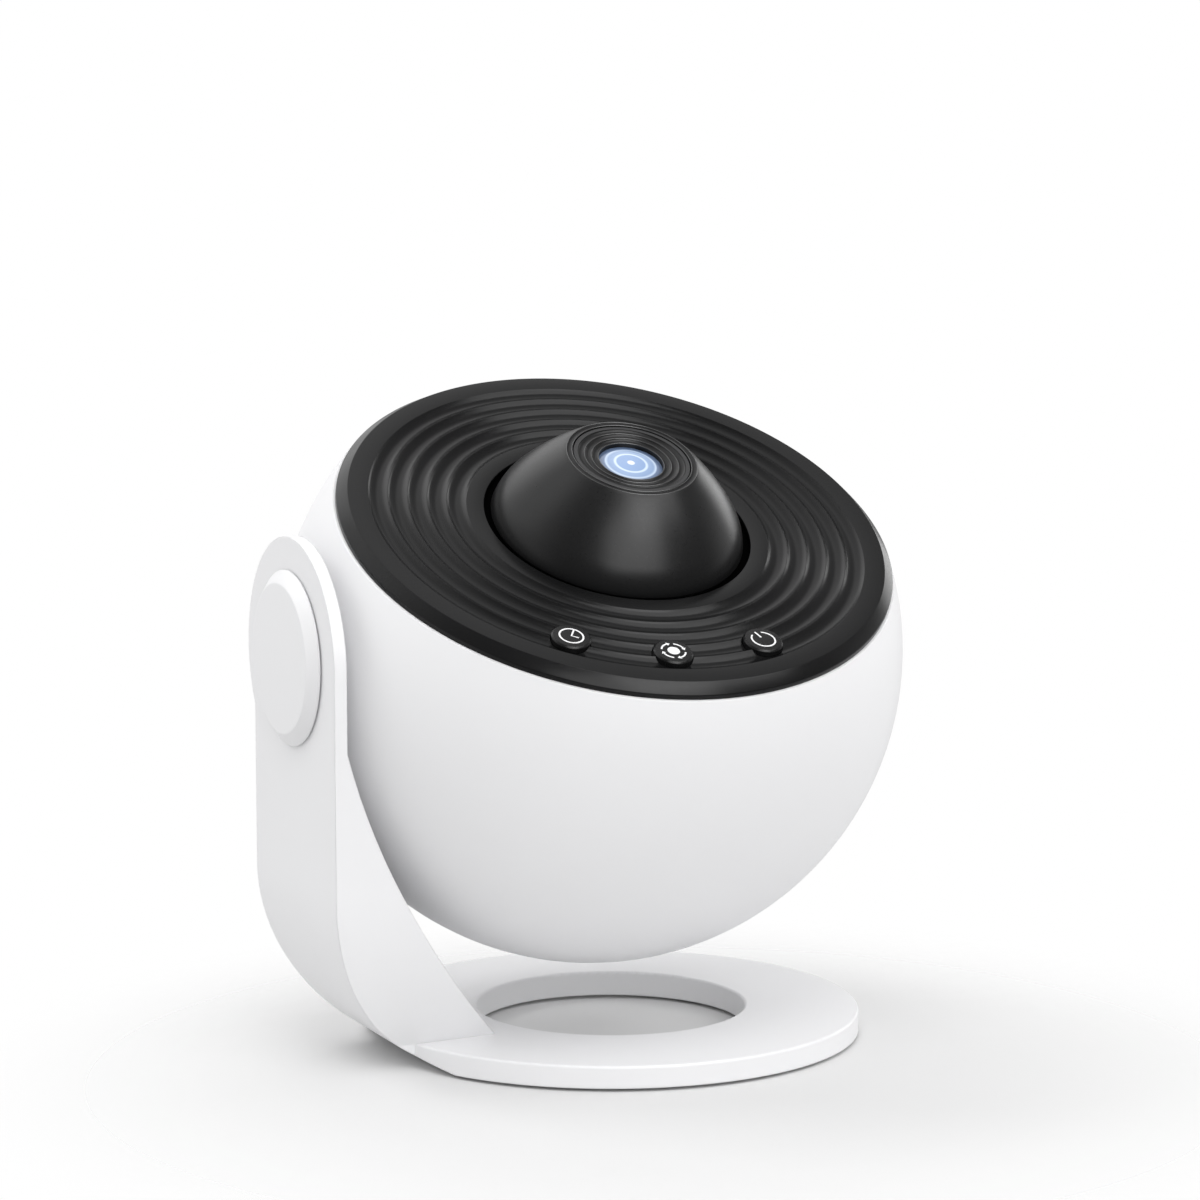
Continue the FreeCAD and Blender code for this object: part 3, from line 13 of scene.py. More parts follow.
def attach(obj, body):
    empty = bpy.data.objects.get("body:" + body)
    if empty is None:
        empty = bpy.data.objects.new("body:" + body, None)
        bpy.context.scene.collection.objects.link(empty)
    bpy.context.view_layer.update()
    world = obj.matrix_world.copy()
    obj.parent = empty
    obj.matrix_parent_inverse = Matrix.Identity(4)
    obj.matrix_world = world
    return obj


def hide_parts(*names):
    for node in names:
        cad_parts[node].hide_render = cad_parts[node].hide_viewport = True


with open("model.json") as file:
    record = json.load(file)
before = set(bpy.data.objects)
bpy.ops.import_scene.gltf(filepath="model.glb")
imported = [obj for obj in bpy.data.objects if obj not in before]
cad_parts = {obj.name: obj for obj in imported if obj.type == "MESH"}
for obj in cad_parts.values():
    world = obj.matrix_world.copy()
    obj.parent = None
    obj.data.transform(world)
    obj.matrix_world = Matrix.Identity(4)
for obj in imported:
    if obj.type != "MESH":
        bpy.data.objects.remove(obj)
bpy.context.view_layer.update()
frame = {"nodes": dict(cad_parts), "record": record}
nodes = frame["nodes"]

MM = 0.001

# The head's own axes: origin at the ball's centre, Z along the light's axis
TILT = math.radians(26.4)
PIVOT_RISE = 3.4
PIVOT_HEIGHT = 84.0
BALL_SIDE = 2.15
ball_centre = Vector((BALL_SIDE, 0.0, PIVOT_HEIGHT - PIVOT_RISE * math.cos(TILT))) * MM
head_axes = Matrix.Translation(ball_centre) @ Matrix.Rotation(TILT, 4, "X")
to_pivot = Matrix.Translation((0, 0, PIVOT_RISE * MM)) @ Matrix.Rotation(-math.pi / 2, 4, "Y")
pivot_axes = head_axes @ to_pivot


class Tree:
    """A node tree in the making."""

    def __init__(self, tree):
        self.tree = tree

    def add(self, kind, **values):
        """A new node with these socket values; an underscore stands for a space."""
        node = self.tree.nodes.new(kind)
        for socket, value in values.items():
            node.inputs[socket.replace("_", " ")].default_value = value
        return node

    def link(self, source, socket):
        """Link an output to an input."""
        self.tree.links.new(source, socket)

    def mixed(self, factor, first, second):
        """Mix two shaders by a factor."""
        node = self.add("ShaderNodeMixShader")
        self.link(factor, node.inputs["Fac"])
        self.link(first, node.inputs[1])
        self.link(second, node.inputs[2])
        return node.outputs["Shader"]

    def smooth_step(self, source, begin, end, first, last):
        """Pass smoothly from a first to a last value between two values of the source."""
        node = self.add("ShaderNodeMapRange", From_Min=begin, From_Max=end, To_Min=first, To_Max=last)
        node.interpolation_type = "SMOOTHSTEP"
        self.link(source, node.inputs["Value"])
        return node.outputs["Result"]


NOISE_LOW = 0.25
NOISE_HIGH = 0.75
EDGE_SAMPLES = 6


class Maker(Tree):
    """A node material in the making."""

    def __init__(self, name):
        self.material = bpy.data.materials.new(name)
        self.material.use_nodes = True
        super().__init__(self.material.node_tree)
        self.shader = self.tree.nodes["Principled BSDF"]
        self.place = self.add("ShaderNodeTexCoord").outputs["Object"]

    def plug(self, source, socket):
        """Link a source to a socket of the shader."""
        self.link(source, self.shader.inputs[socket])

    def constant(self, **values):
        """Set plain values on the shader's own sockets."""
        for socket, value in values.items():
            self.shader.inputs[socket.replace("_", " ")].default_value = value

    def noise(self, scale, detail=2.0, roughness=0.5):
        """Noise in the object's own space."""
        node = self.add("ShaderNodeTexNoise", Scale=scale, Detail=detail, Roughness=roughness)
        self.link(self.place, node.inputs["Vector"])
        return node.outputs["Fac"]

    def ranged(self, source, low, high):
        """Spread the middle of a noise over a range."""
        node = self.add("ShaderNodeMapRange", From_Min=NOISE_LOW, From_Max=NOISE_HIGH, To_Min=low,
                        To_Max=high)
        self.link(source, node.inputs["Value"])
        return node.outputs["Result"]

    def blended(self, source, first, second):
        """Blend two colours by a factor."""
        node = self.add("ShaderNodeMix")
        node.data_type = "RGBA"
        node.inputs["A"].default_value = (*first, 1.0)
        node.inputs["B"].default_value = (*second, 1.0)
        self.link(source, node.inputs["Factor"])
        return node.outputs["Result"]

    def bumped(self, source, height, strength, base=None):
        """Normals with a fine relief, on top of other normals if given."""
        node = self.add("ShaderNodeBump", Distance=height, Strength=strength)
        self.link(source, node.inputs["Height"])
        if base is not None:
            self.link(base, node.inputs["Normal"])
        return node.outputs["Normal"]

    def edge_rounded(self, radius):
        """Normals that soften hard edges."""
        node = self.add("ShaderNodeBevel", Radius=radius)
        node.samples = EDGE_SAMPLES
        return node.outputs["Normal"]

    def distance_from_axis(self):
        """Distance from the object's own Z axis."""
        flat = self.add("ShaderNodeVectorMath")
        flat.operation = "MULTIPLY"
        flat.inputs[1].default_value = (1.0, 1.0, 0.0)
        self.link(self.place, flat.inputs[0])
        reach = self.add("ShaderNodeVectorMath")
        reach.operation = "LENGTH"
        self.link(flat.outputs["Vector"], reach.inputs[0])
        return reach.outputs["Value"]


COLOUR_DRIFT = 45.0
GLOSS_SPREAD = 0.045
GRAIN_HEIGHT = 0.00004
GRAIN_DETAIL = 3.0
GRAIN_ROUGHNESS = 0.6


def moulded(name, colour, spread, roughness, grain, bump, edge, shine):
    """Moulded plastic: fine grain in the surface, slight drift in colour and gloss."""
    make = Maker(name)
    make.constant(Specular_IOR_Level=shine)
    darker = tuple(part * (1.0 - spread) for part in colour)
    drift = make.noise(COLOUR_DRIFT, GRAIN_DETAIL)
    fine = make.noise(grain, GRAIN_DETAIL, GRAIN_ROUGHNESS)
    make.plug(make.blended(drift, darker, colour), "Base Color")
    make.plug(make.ranged(fine, roughness - GLOSS_SPREAD, roughness + GLOSS_SPREAD), "Roughness")
    base = make.edge_rounded(edge) if edge else None
    make.plug(make.bumped(fine, GRAIN_HEIGHT, bump, base), "Normal")
    return make.material


STREAK_DETAIL = 4.0
STREAK_DARK = 0.88
STREAK_BUMP = 0.15
STREAK_SMOOTHER = 0.06
STREAK_ROUGHER = 0.08


def metal(name, colour, roughness, streak):
    """Machined or rolled metal with fine streaks."""
    make = Maker(name)
    make.constant(Metallic=1.0)
    fine = make.noise(streak, STREAK_DETAIL)
    darker = tuple(part * STREAK_DARK for part in colour)
    make.plug(make.blended(fine, darker, colour), "Base Color")
    make.plug(make.ranged(fine, roughness - STREAK_SMOOTHER, roughness + STREAK_ROUGHER), "Roughness")
    make.plug(make.bumped(fine, GRAIN_HEIGHT, STREAK_BUMP), "Normal")
    return make.material


HAZE = 220.0
HAZE_PALER = 1.05
HAZE_ROUGHER = 0.04


def glass(name, colour, roughness):
    """Clear coated glass with a trace of surface haze."""
    make = Maker(name)
    make.constant(Transmission_Weight=0.9, IOR=1.5, Coat_Weight=0.6)
    haze = make.noise(HAZE)
    paler = tuple(min(part * HAZE_PALER, 1.0) for part in colour)
    make.plug(make.blended(haze, colour, paler), "Base Color")
    make.plug(make.ranged(haze, roughness, roughness + HAZE_ROUGHER), "Roughness")
    return make.material


TRACK_SCALE = 260.0
BOARD_DARK = (0.02, 0.15, 0.06, 1.0)
BOARD_LIGHT = (0.03, 0.19, 0.08, 1.0)
TRACK_COLOUR = (0.05, 0.27, 0.12, 1.0)
LACQUER_GRAIN = 900.0
LACQUER_GLOSS = (0.25, 0.4)


def board(name):
    """Circuit board lacquer with faint copper tracks under it."""
    make = Maker(name)
    tracks = make.add("ShaderNodeTexBrick", Scale=TRACK_SCALE, Color1=BOARD_DARK, Color2=BOARD_LIGHT,
                      Mortar=TRACK_COLOUR)
    make.link(make.place, tracks.inputs["Vector"])
    make.plug(tracks.outputs["Color"], "Base Color")
    make.plug(make.ranged(make.noise(LACQUER_GRAIN), *LACQUER_GLOSS), "Roughness")
    return make.material


# Light of the front glass by distance from its middle
GLASS_RADIUS = 6.6
GLASS_LIGHT = (
    (0.0, (1.0, 1.0, 1.0)),
    (0.6, (1.0, 1.0, 1.0)),
    (0.9, (0.22, 0.33, 0.55)),
    (2.9, (0.20, 0.31, 0.53)),
    (3.15, (0.66, 0.76, 0.84)),
    (3.4, (0.66, 0.76, 0.84)),
    (3.7, (0.24, 0.34, 0.52)),
    (4.7, (0.20, 0.29, 0.46)),
    (5.2, (0.56, 0.66, 0.76)),
    (5.5, (0.07, 0.10, 0.18)),
    (6.1, (0.01, 0.015, 0.03)),
)
GLASS_TINT = (0.10, 0.14, 0.22, 1.0)
GLASS_HAZE = 400.0
GLASS_GLOSS = (0.04, 0.1)


def lit_glass(name):
    """Front glass lit from behind, with the rings of the lenses under it."""
    make = Maker(name)
    make.constant(Base_Color=GLASS_TINT, Coat_Weight=1.0, Coat_Roughness=0.03, Emission_Strength=1.0)
    make.plug(make.ranged(make.noise(GLASS_HAZE), *GLASS_GLOSS), "Roughness")
    spread = make.add("ShaderNodeMapRange", From_Max=GLASS_RADIUS * MM)
    make.link(make.distance_from_axis(), spread.inputs["Value"])
    ramp = make.add("ShaderNodeValToRGB")
    stops = ramp.color_ramp.elements
    stops.remove(stops[1])
    for step, (radius, colour) in enumerate(GLASS_LIGHT):
        stop = stops.new(radius / GLASS_RADIUS) if step else stops[0]
        stop.color = (*colour, 1.0)
    make.link(spread.outputs["Result"], ramp.inputs["Fac"])
    make.plug(ramp.outputs["Color"], "Emission Color")
    return make.material


WHITE = (0.82, 0.82, 0.83)
BLACK = (0.007, 0.007, 0.0073)

# A plastic is its colour, the drift of the colour, its roughness, the scale and strength of its grain,
# the rounding of its edges in metres and its shine
PLASTICS = {
    "white_shell": (WHITE, 0.015, 0.48, 1500.0, 0.10, 0.0004, 0.4),
    "white_stand": (WHITE, 0.02, 0.46, 1700.0, 0.10, 0.0005, 0.4),
    "black_face": (BLACK, 0.2, 0.22, 1900.0, 0.05, 0.0, 0.18),
    "black_turret": (BLACK, 0.2, 0.31, 2100.0, 0.05, 0.0, 0.27),
    "black_button": (BLACK, 0.2, 0.26, 1600.0, 0.03, 0.0, 0.25),
    "black_inner": ((0.018, 0.018, 0.019), 0.2, 0.55, 1500.0, 0.2, 0.0, 0.5),
    "grey_inner": ((0.30, 0.31, 0.32), 0.08, 0.55, 1400.0, 0.2, 0.0, 0.5),
    "natural_gear": ((0.72, 0.70, 0.64), 0.05, 0.4, 1200.0, 0.1, 0.0, 0.5),
    "bush_plastic": ((0.80, 0.79, 0.74), 0.05, 0.4, 1200.0, 0.1, 0.0, 0.5),
    "lamp_chip": ((0.9, 0.78, 0.25), 0.1, 0.2, 900.0, 0.05, 0.0, 0.5),
    "pad_rubber": ((0.025, 0.025, 0.026), 0.2, 0.8, 1300.0, 0.5, 0.0, 0.5),
    # The next plastic, near black without shine, is painted shade for the gap round the dome.
    "painted_shade_black": ((0.002, 0.002, 0.002), 0.2, 0.95, 1300.0, 0.3, 0.0, 0.0),
    # The next plastic is lighter than the black round it and lies on crest edges alone: a painted highlight
    # line on a glossy edge.
    "painted_highlight_edge": ((0.03, 0.03, 0.031), 0.1, 0.22, 2000.0, 0.02, 0.0, 1.0),
    "icon_ink": ((0.88, 0.88, 0.89), 0.02, 0.5, 2500.0, 0.1, 0.0, 0.5),
}

materials = {name: moulded(name, *look) for name, look in PLASTICS.items()}
materials["lens_glass"] = glass("lens_glass", (0.80, 0.92, 1.0), 0.02)
materials["film_glass"] = glass("film_glass", (0.30, 0.26, 0.48), 0.08)
materials["steel"] = metal("steel", (0.62, 0.62, 0.64), 0.3, 1400.0)
materials["weight_steel"] = metal("weight_steel", (0.35, 0.35, 0.36), 0.45, 600.0)
materials["sink_metal"] = metal("sink_metal", (0.75, 0.75, 0.77), 0.32, 900.0)
materials["board_green"] = board("board_green")
materials["lit_glass"] = lit_glass("lit_glass")


def paint(thing, name):
    """Give an object one material."""
    thing.data.materials.clear()
    thing.data.materials.append(materials[name])


for item in frame["record"]["subparts"]:
    paint(nodes[item["node"]], item["material_slot"])


# Rounding of corners: none, fine, or of an edge that shows
SHARP = 0.0
FINE = 0.1
EDGE_ROUND = 0.15
ROUND_STEPS = 4
LARGEST_RUN = 0.48
TURN_STEPS = 288
ON_AXIS = 1e-6
CREASE = math.radians(40)


def softened(corners):
    """A closed outline with its corners rounded; a corner is (across, up, radius)."""
    outline = []
    for step, (across, up, radius) in enumerate(corners):
        here = Vector((across, up))
        if radius <= SHARP:
            outline.append(here)
            continue
        before = Vector(corners[step - 1][:2]) - here
        after = Vector(corners[(step + 1) % len(corners)][:2]) - here
        half = before.angle(after) / 2
        run = min(radius / math.tan(half), LARGEST_RUN * before.length, LARGEST_RUN * after.length)
        start = before.normalized() * run
        end = after.normalized() * run
        centre = (start + end).normalized() * (run / math.cos(half))
        sweep = (start - centre).angle(end - centre)
        for part in range(ROUND_STEPS + 1):
            share = part / ROUND_STEPS
            first = math.sin((1 - share) * sweep) / math.sin(sweep)
            last = math.sin(share * sweep) / math.sin(sweep)
            outline.append(here + centre + (start - centre) * first + (end - centre) * last)
    return outline


def arc(centre, radius, first, last, steps, ends=(True, True)):
    """Plain points along an arc, angles in degrees, as unrounded corners."""
    points = []
    for step in range(0 if ends[0] else 1, steps + (1 if ends[1] else 0)):
        turn = math.radians(first + (last - first) * step / steps)
        points.append((centre[0] + radius * math.cos(turn), centre[1] + radius * math.sin(turn), SHARP))
    return points


def lathe(name, corners, body, slot, replaced=(), axes=head_axes):
    """A turned piece from a closed outline of (radius, height, rounding)."""
    work = bmesh.new()
    rings = []
    turns = [2 * math.pi * step / TURN_STEPS for step in range(TURN_STEPS)]
    for point in softened(corners):
        if point.x < ON_AXIS:
            rings.append([work.verts.new((0, 0, point.y * MM))] * TURN_STEPS)
            continue
        ring = []
        for turn in turns:
            spot = Vector((point.x * math.cos(turn), point.x * math.sin(turn), point.y))
            ring.append(work.verts.new(spot * MM))
        rings.append(ring)
    for step, ring in enumerate(rings):
        above = rings[(step + 1) % len(rings)]
        for turn in range(TURN_STEPS):
            beside = (turn + 1) % TURN_STEPS
            distinct = list(dict.fromkeys([ring[turn], ring[beside], above[beside], above[turn]]))
            if len(distinct) > 2:
                work.faces.new(distinct)
    bmesh.ops.recalc_face_normals(work, faces=work.faces)
    return finished(work, name, body, slot, replaced, axes)


def finished(work, name, body, slot, replaced=(), axes=head_axes):
    """Turn a worked mesh into a piece that rides on its body."""
    mesh = bpy.data.meshes.new(name)
    work.to_mesh(mesh)
    work.free()
    mesh.shade_smooth()
    mesh.set_sharp_from_angle(angle=CREASE)
    piece = bpy.data.objects.new(name, mesh)
    bpy.context.scene.collection.objects.link(piece)
    piece.matrix_world = axes
    paint(piece, slot)
    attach(piece, body)
    if replaced:
        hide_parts(*replaced)
    return piece


# Face plate, in the head's axes
FACE_CUT = 28.6
FACE_TOP = 31.6
FACE_UNDER = 28.8
PLATE_RADIUS = 57.87
BEVEL_WIDTH = 2.1
BEVEL_DROP = 1.9
BEVEL_ROUND = 0.3
RIPPLES = 5
RIPPLE_START = 51.57
RIPPLE_PITCH = 4.044
RIPPLE_DEPTH = 0.9
CREST_ROUND = 0.10
SCOOP_STEPS = 12
RECESS = 27.7
COLLAR = 29.3
COLLAR_LOW = 25.6
SPIGOT_OUT = 55.6
SPIGOT_IN = 54.8
SPIGOT_LOW = 23.1

# The gap round the dome, hollowed out under a lip on either side
GAP_LIP = 0.6
GAP_HOLLOW = 0.9
GAP_LEVEL = FACE_TOP - GAP_LIP

# Buttons
BUTTON_TURNS = (-33.8, -8.2, 17.4)
BUTTON_CIRCLE = 46.1
BUTTON_HOLE = 4.2
HOLE_STEPS = 96


def on_face(turn, height=0.0):
    """Axes on the button circle, by the angle from the front."""
    angle = math.radians(turn)
    spot = Vector((BUTTON_CIRCLE * math.sin(angle), -BUTTON_CIRCLE * math.cos(angle), height))
    return head_axes @ Matrix.Translation(spot * MM)


def scallops(first, pitch, count, depth, crest_round, level, rise=0.0):
    """Hollows between sharp crests, outwards from the first crest; each crest rises on the last."""
    scoop = pitch ** 2 / (8 * depth) + depth / 2
    half = math.degrees(math.asin(pitch / 2 / scoop))
    lean = math.degrees(math.atan(rise / pitch))
    corners = [(first, level, crest_round)]
    for step in range(count):
        centre = (first + pitch * (step + 0.5), level + rise * (step + 0.5) - depth + scoop)
        corners += arc(centre, scoop, 270 - half + lean, 270 + half + lean, SCOOP_STEPS, ends=(False, False))
        corners.append((first + pitch * (step + 1), level + rise * (step + 1), crest_round))
    return corners


def button_hole(plate, turn):
    """Cut one button's hole through the face plate."""
    mesh = bpy.data.meshes.new("button_hole")
    work = bmesh.new()
    radius = BUTTON_HOLE * MM
    bmesh.ops.create_cone(work, cap_ends=True, segments=HOLE_STEPS, radius1=radius, radius2=radius,
                          depth=2 * radius)
    work.to_mesh(mesh)
    work.free()
    cutter = bpy.data.objects.new("button_hole", mesh)
    bpy.context.scene.collection.objects.link(cutter)
    cutter.matrix_world = on_face(turn, FACE_TOP)
    hole = plate.modifiers.new("button_hole", "BOOLEAN")
    hole.operation = "DIFFERENCE"
    hole.solver = "EXACT"
    hole.object = cutter
    bpy.context.view_layer.update()
    with bpy.context.temp_override(object=plate, active_object=plate):
        bpy.ops.object.modifier_apply(modifier=hole.name)
    bpy.data.objects.remove(cutter)


def face_plate():
    """Black plate with round ripples and the three button holes."""
    first_crest = RIPPLE_START - RIPPLE_PITCH * RIPPLES
    corners = [
        (COLLAR, COLLAR_LOW, FINE),
        (RECESS + GAP_HOLLOW, COLLAR_LOW, FINE),
        (RECESS + GAP_HOLLOW, GAP_LEVEL, SHARP),
        (RECESS, GAP_LEVEL, SHARP),
        (RECESS, FACE_TOP, EDGE_ROUND),
    ]
    corners += scallops(first_crest, RIPPLE_PITCH, RIPPLES, RIPPLE_DEPTH, CREST_ROUND, FACE_TOP)
    corners += [
        (PLATE_RADIUS - BEVEL_WIDTH, FACE_TOP, BEVEL_ROUND),
        (PLATE_RADIUS, FACE_TOP - BEVEL_DROP, BEVEL_ROUND),
        (PLATE_RADIUS, FACE_CUT, EDGE_ROUND),
        (SPIGOT_OUT, FACE_CUT, SHARP),
        (SPIGOT_OUT, SPIGOT_LOW, FINE),
        (SPIGOT_IN, SPIGOT_LOW, FINE),
        (SPIGOT_IN, FACE_UNDER, SHARP),
        (COLLAR, FACE_UNDER, SHARP),
    ]
    plate = lathe("face_plate", corners, "head", "black_face", ["front_bezel"])
    for turn in BUTTON_TURNS:
        button_hole(plate, turn)
    plate.data.set_sharp_from_angle(angle=CREASE)


# Focus dome: a round shoulder that runs into a bowed flank
DOME_RADIUS = 26.45
DOME_WALL = 1.6
DOME_LOW = 26.6
SHOULDER_BOW = 14.0
SHOULDER_TURN = 36.0
SHOULDER_LEVEL = 28.5
FLANK_BOW = 55.0
TIP_RADIUS = 13.6
TIP_BORE = 12.25
LIP_DEPTH = 0.24
LIP_ROUND = 0.12
BOW_STEPS = 16
INNER_FLANK_STEPS = 12
INNER_SHOULDER_STEPS = 8

# Ring of painted shade in the gap, and fine edges that carry painted highlight lines
SHADE_RING_TOP = 29.6
SHADE_RING_THICK = 0.5
SHADE_RING_PLAY = 0.05
HIGHLIGHT_BEAD_SIZE = 0.11
BEAD_STEPS = 10


def highlight_bead(name, radius, level, body):
    """Fine glossy edge round a ring; its colour, lighter than the black round it, is a painted highlight
    line.
    """
    centre = (radius, level - HIGHLIGHT_BEAD_SIZE / 2)
    lathe(name, arc(centre, HIGHLIGHT_BEAD_SIZE, 0, 360, BEAD_STEPS, ends=(True, False)), body, "painted_highlight_edge")


def dome_skirt():
    """The angle at which the dome's round shoulder ends in the gap, and the radius of its skirt below."""
    turn = math.asin((GAP_LEVEL - SHOULDER_LEVEL) / SHOULDER_BOW)
    return turn, DOME_RADIUS - SHOULDER_BOW * (1.0 - math.cos(turn)) - GAP_HOLLOW


def gap_shade_ring():
    """A matt black ring that closes the gap between the face and the dome: a dark sheet of painted shade
    deep in the gap.
    """
    outer = RECESS + GAP_HOLLOW - SHADE_RING_PLAY
    inner = dome_skirt()[1] + SHADE_RING_PLAY
    low = SHADE_RING_TOP - SHADE_RING_THICK
    corners = [(outer, low, SHARP), (inner, low, SHARP), (inner, SHADE_RING_TOP, SHARP), (outer, SHADE_RING_TOP, SHARP)]
    lathe("gap_shade_ring", corners, "head", "painted_shade_black")


def focus_dome():
    """Black dome that turns to focus."""
    shoulder = (DOME_RADIUS - SHOULDER_BOW, SHOULDER_LEVEL)
    reach = FLANK_BOW - SHOULDER_BOW
    turn = math.radians(SHOULDER_TURN)
    flank = (shoulder[0] - reach * math.cos(turn), shoulder[1] - reach * math.sin(turn))
    inner_bow = FLANK_BOW - DOME_WALL
    tip_turn = math.degrees(math.acos((TIP_RADIUS - flank[0]) / FLANK_BOW))
    inner_turn = math.degrees(math.acos((TIP_BORE - flank[0]) / inner_bow))
    tip = flank[1] + FLANK_BOW * math.sin(math.radians(tip_turn))
    skirt_turn, skirt = dome_skirt()
    corners = [
        (DOME_RADIUS - DOME_WALL, DOME_LOW, FINE),
        (skirt, DOME_LOW, FINE),
        (skirt, GAP_LEVEL, SHARP),
    ]
    corners += arc(shoulder, SHOULDER_BOW, math.degrees(skirt_turn), SHOULDER_TURN, BOW_STEPS)
    corners += arc(flank, FLANK_BOW, SHOULDER_TURN, tip_turn, BOW_STEPS, ends=(False, False))
    corners += reversed(scallops(TIP_BORE, TIP_RADIUS - TIP_BORE, 1, LIP_DEPTH, LIP_ROUND, tip))
    corners += arc(flank, inner_bow, inner_turn, SHOULDER_TURN, INNER_FLANK_STEPS)
    corners += arc(shoulder, SHOULDER_BOW - DOME_WALL, SHOULDER_TURN, 0, INNER_SHOULDER_STEPS,
                   ends=(False, True))
    lathe("focus_dome", corners, "turret", "black_turret", ["focus_turret"])
    # Beads at the dome's tip carry a painted highlight line.
    highlight_bead("dome_highlight_edge", TIP_RADIUS - HIGHLIGHT_BEAD_SIZE, tip, "turret")
    highlight_bead("dome_inner_highlight_edge", TIP_BORE + HIGHLIGHT_BEAD_SIZE, tip, "turret")


# Hood and front glass
HOOD_TOP = 47.2
HOOD_RADIUS = 11.1
HOOD_LOW = 45.0
HOOD_RINGS = 3
RING_RISE = 0.18
RING_DEPTH = 0.36
RING_ROUND = 0.05
APERTURE = 6.7
LENS_RADIUS = 8.5
LENS_LOW = 42.75
LENS_SHOULDER = 44.95
GLASS_RIM = 45.75
GLASS_BULGE = 0.55


def ringed_hood():
    """Shallow dish of rings round the lens."""
    width = (HOOD_RADIUS - APERTURE) / HOOD_RINGS
    inner_level = HOOD_TOP - RING_RISE * HOOD_RINGS
    corners = [(HOOD_RADIUS, HOOD_LOW, SHARP), (APERTURE, HOOD_LOW, SHARP)]
    corners += scallops(APERTURE, width, HOOD_RINGS, RING_DEPTH, RING_ROUND, inner_level, RING_RISE)
    lathe("ringed_hood", corners, "barrel", "black_turret", ["lens_hood"])
    # Each ring's crest carries a bead with a painted highlight line.
    for ring in range(HOOD_RINGS):
        crest = APERTURE + width * ring + HIGHLIGHT_BEAD_SIZE
        highlight_bead("ring_highlight_edge_%d" % ring, crest, inner_level + RING_RISE * ring, "barrel")


def lit_lens():
    """Domed front glass."""
    bow = GLASS_RADIUS ** 2 / (2 * GLASS_BULGE) + GLASS_BULGE / 2
    half = math.degrees(math.asin(GLASS_RADIUS / bow))
    corners = [
        (0.0, LENS_LOW, SHARP),
        (LENS_RADIUS, LENS_LOW, FINE),
        (LENS_RADIUS, LENS_SHOULDER, FINE),
        (GLASS_RADIUS, LENS_SHOULDER, SHARP),
    ]
    corners += arc((0.0, GLASS_RIM + GLASS_BULGE - bow), bow, 90 - half, 90, BOW_STEPS)
    lathe("lit_lens", corners, "barrel", "lit_glass", ["front_lens"])


# Cap over the pivot, by its distance from the ball's middle plane
CAP_SEAT = 65.6
CAP_RIM = 67.1
CAP_CEILING = 68.4
CAP_FACE = 69.3
CAP_EDGE = 0.3
CAP_RADIUS = 17.85
CAP_FACE_RADIUS = 15.3
CAP_FACE_ROUND = 0.45
CAP_PLUG = 11.95
CAP_WALL = 0.9


def arm_cap():
    """Low bevelled cap over the pivot."""
    inner = CAP_PLUG - CAP_WALL
    lathe("arm_cap", [
        (0.0, CAP_CEILING, SHARP),
        (inner, CAP_CEILING, SHARP),
        (inner, CAP_SEAT, FINE),
        (CAP_PLUG, CAP_SEAT, FINE),
        (CAP_PLUG, CAP_RIM, SHARP),
        (CAP_RADIUS, CAP_RIM, FINE),
        (CAP_RADIUS, CAP_RIM + CAP_EDGE, EDGE_ROUND),
        (CAP_FACE_RADIUS, CAP_FACE, CAP_FACE_ROUND),
        (0.0, CAP_FACE, SHARP),
    ], "stand", "white_stand", ["pivot_cap"], axes=pivot_axes)


def strip(work, points, width, closed=False):
    """A flat strip of even width along points, lying in its own plane."""
    count = len(points)
    pairs = []
    for step, point in enumerate(points):
        before = points[(step - 1) % count] if closed or step else point
        after = points[(step + 1) % count] if closed or step < count - 1 else point
        along = (after - before).normalized()
        aside = Vector((-along.y, along.x, 0)) * (width / 2)
        pairs.append((work.verts.new((point + aside) * MM), work.verts.new((point - aside) * MM)))
    for step in range(count if closed else count - 1):
        here = pairs[step]
        there = pairs[(step + 1) % count]
        work.faces.new((here[1], there[1], there[0], here[0]))


def on_circle(radius, degrees):
    """A point on a circle, clockwise from the top."""
    turn = math.radians(degrees)
    return Vector((radius * math.sin(turn), radius * math.cos(turn), 0))


def curve_points(radius, first, last, steps):
    """Points along a circle, angles in degrees clockwise from the top."""
    return [on_circle(radius, first + (last - first) * step / steps) for step in range(steps + 1)]


# Icons on the button's top, angles in degrees
ICON_LINE = 0.34
ICON_RING = 2.4
ICON_RAISE = 0.05
ICON_SINK = 0.01
CLOCK_STEPS = 64
CLOCK_HAND = 1.5
HUB_DISC = 1.25
HUB_STEPS = 48
ARROWS = 4
ARROW_START = 12
ARROW_SWEEP = 58
ARROW_BACK = 56
ARROW_TIP = 72
ARROW_HALF = 0.5
ARROW_STEPS = 16
POWER_GAP = 28
POWER_STEPS = 56


def clock_icon(work):
    """A ring with two hands."""
    strip(work, curve_points(ICON_RING, 0, 360, CLOCK_STEPS)[:-1], ICON_LINE, closed=True)
    strip(work, [Vector((0, ICON_RING, 0)), Vector((0, 0, 0)), Vector((CLOCK_HAND, 0, 0))], ICON_LINE)


def rotate_icon(work):
    """A disc inside arrows that chase each other."""
    disc = reversed(curve_points(HUB_DISC, 0, 360, HUB_STEPS)[:-1])
    work.faces.new([work.verts.new(point * MM) for point in disc])
    for arrow in range(ARROWS):
        start = 360 / ARROWS * arrow + ARROW_START
        strip(work, curve_points(ICON_RING, start, start + ARROW_SWEEP, ARROW_STEPS), ICON_LINE)
        inside = on_circle(ICON_RING - ARROW_HALF, start + ARROW_BACK)
        ahead = on_circle(ICON_RING, start + ARROW_TIP)
        outside = on_circle(ICON_RING + ARROW_HALF, start + ARROW_BACK)
        work.faces.new([work.verts.new(point * MM) for point in (inside, ahead, outside)])


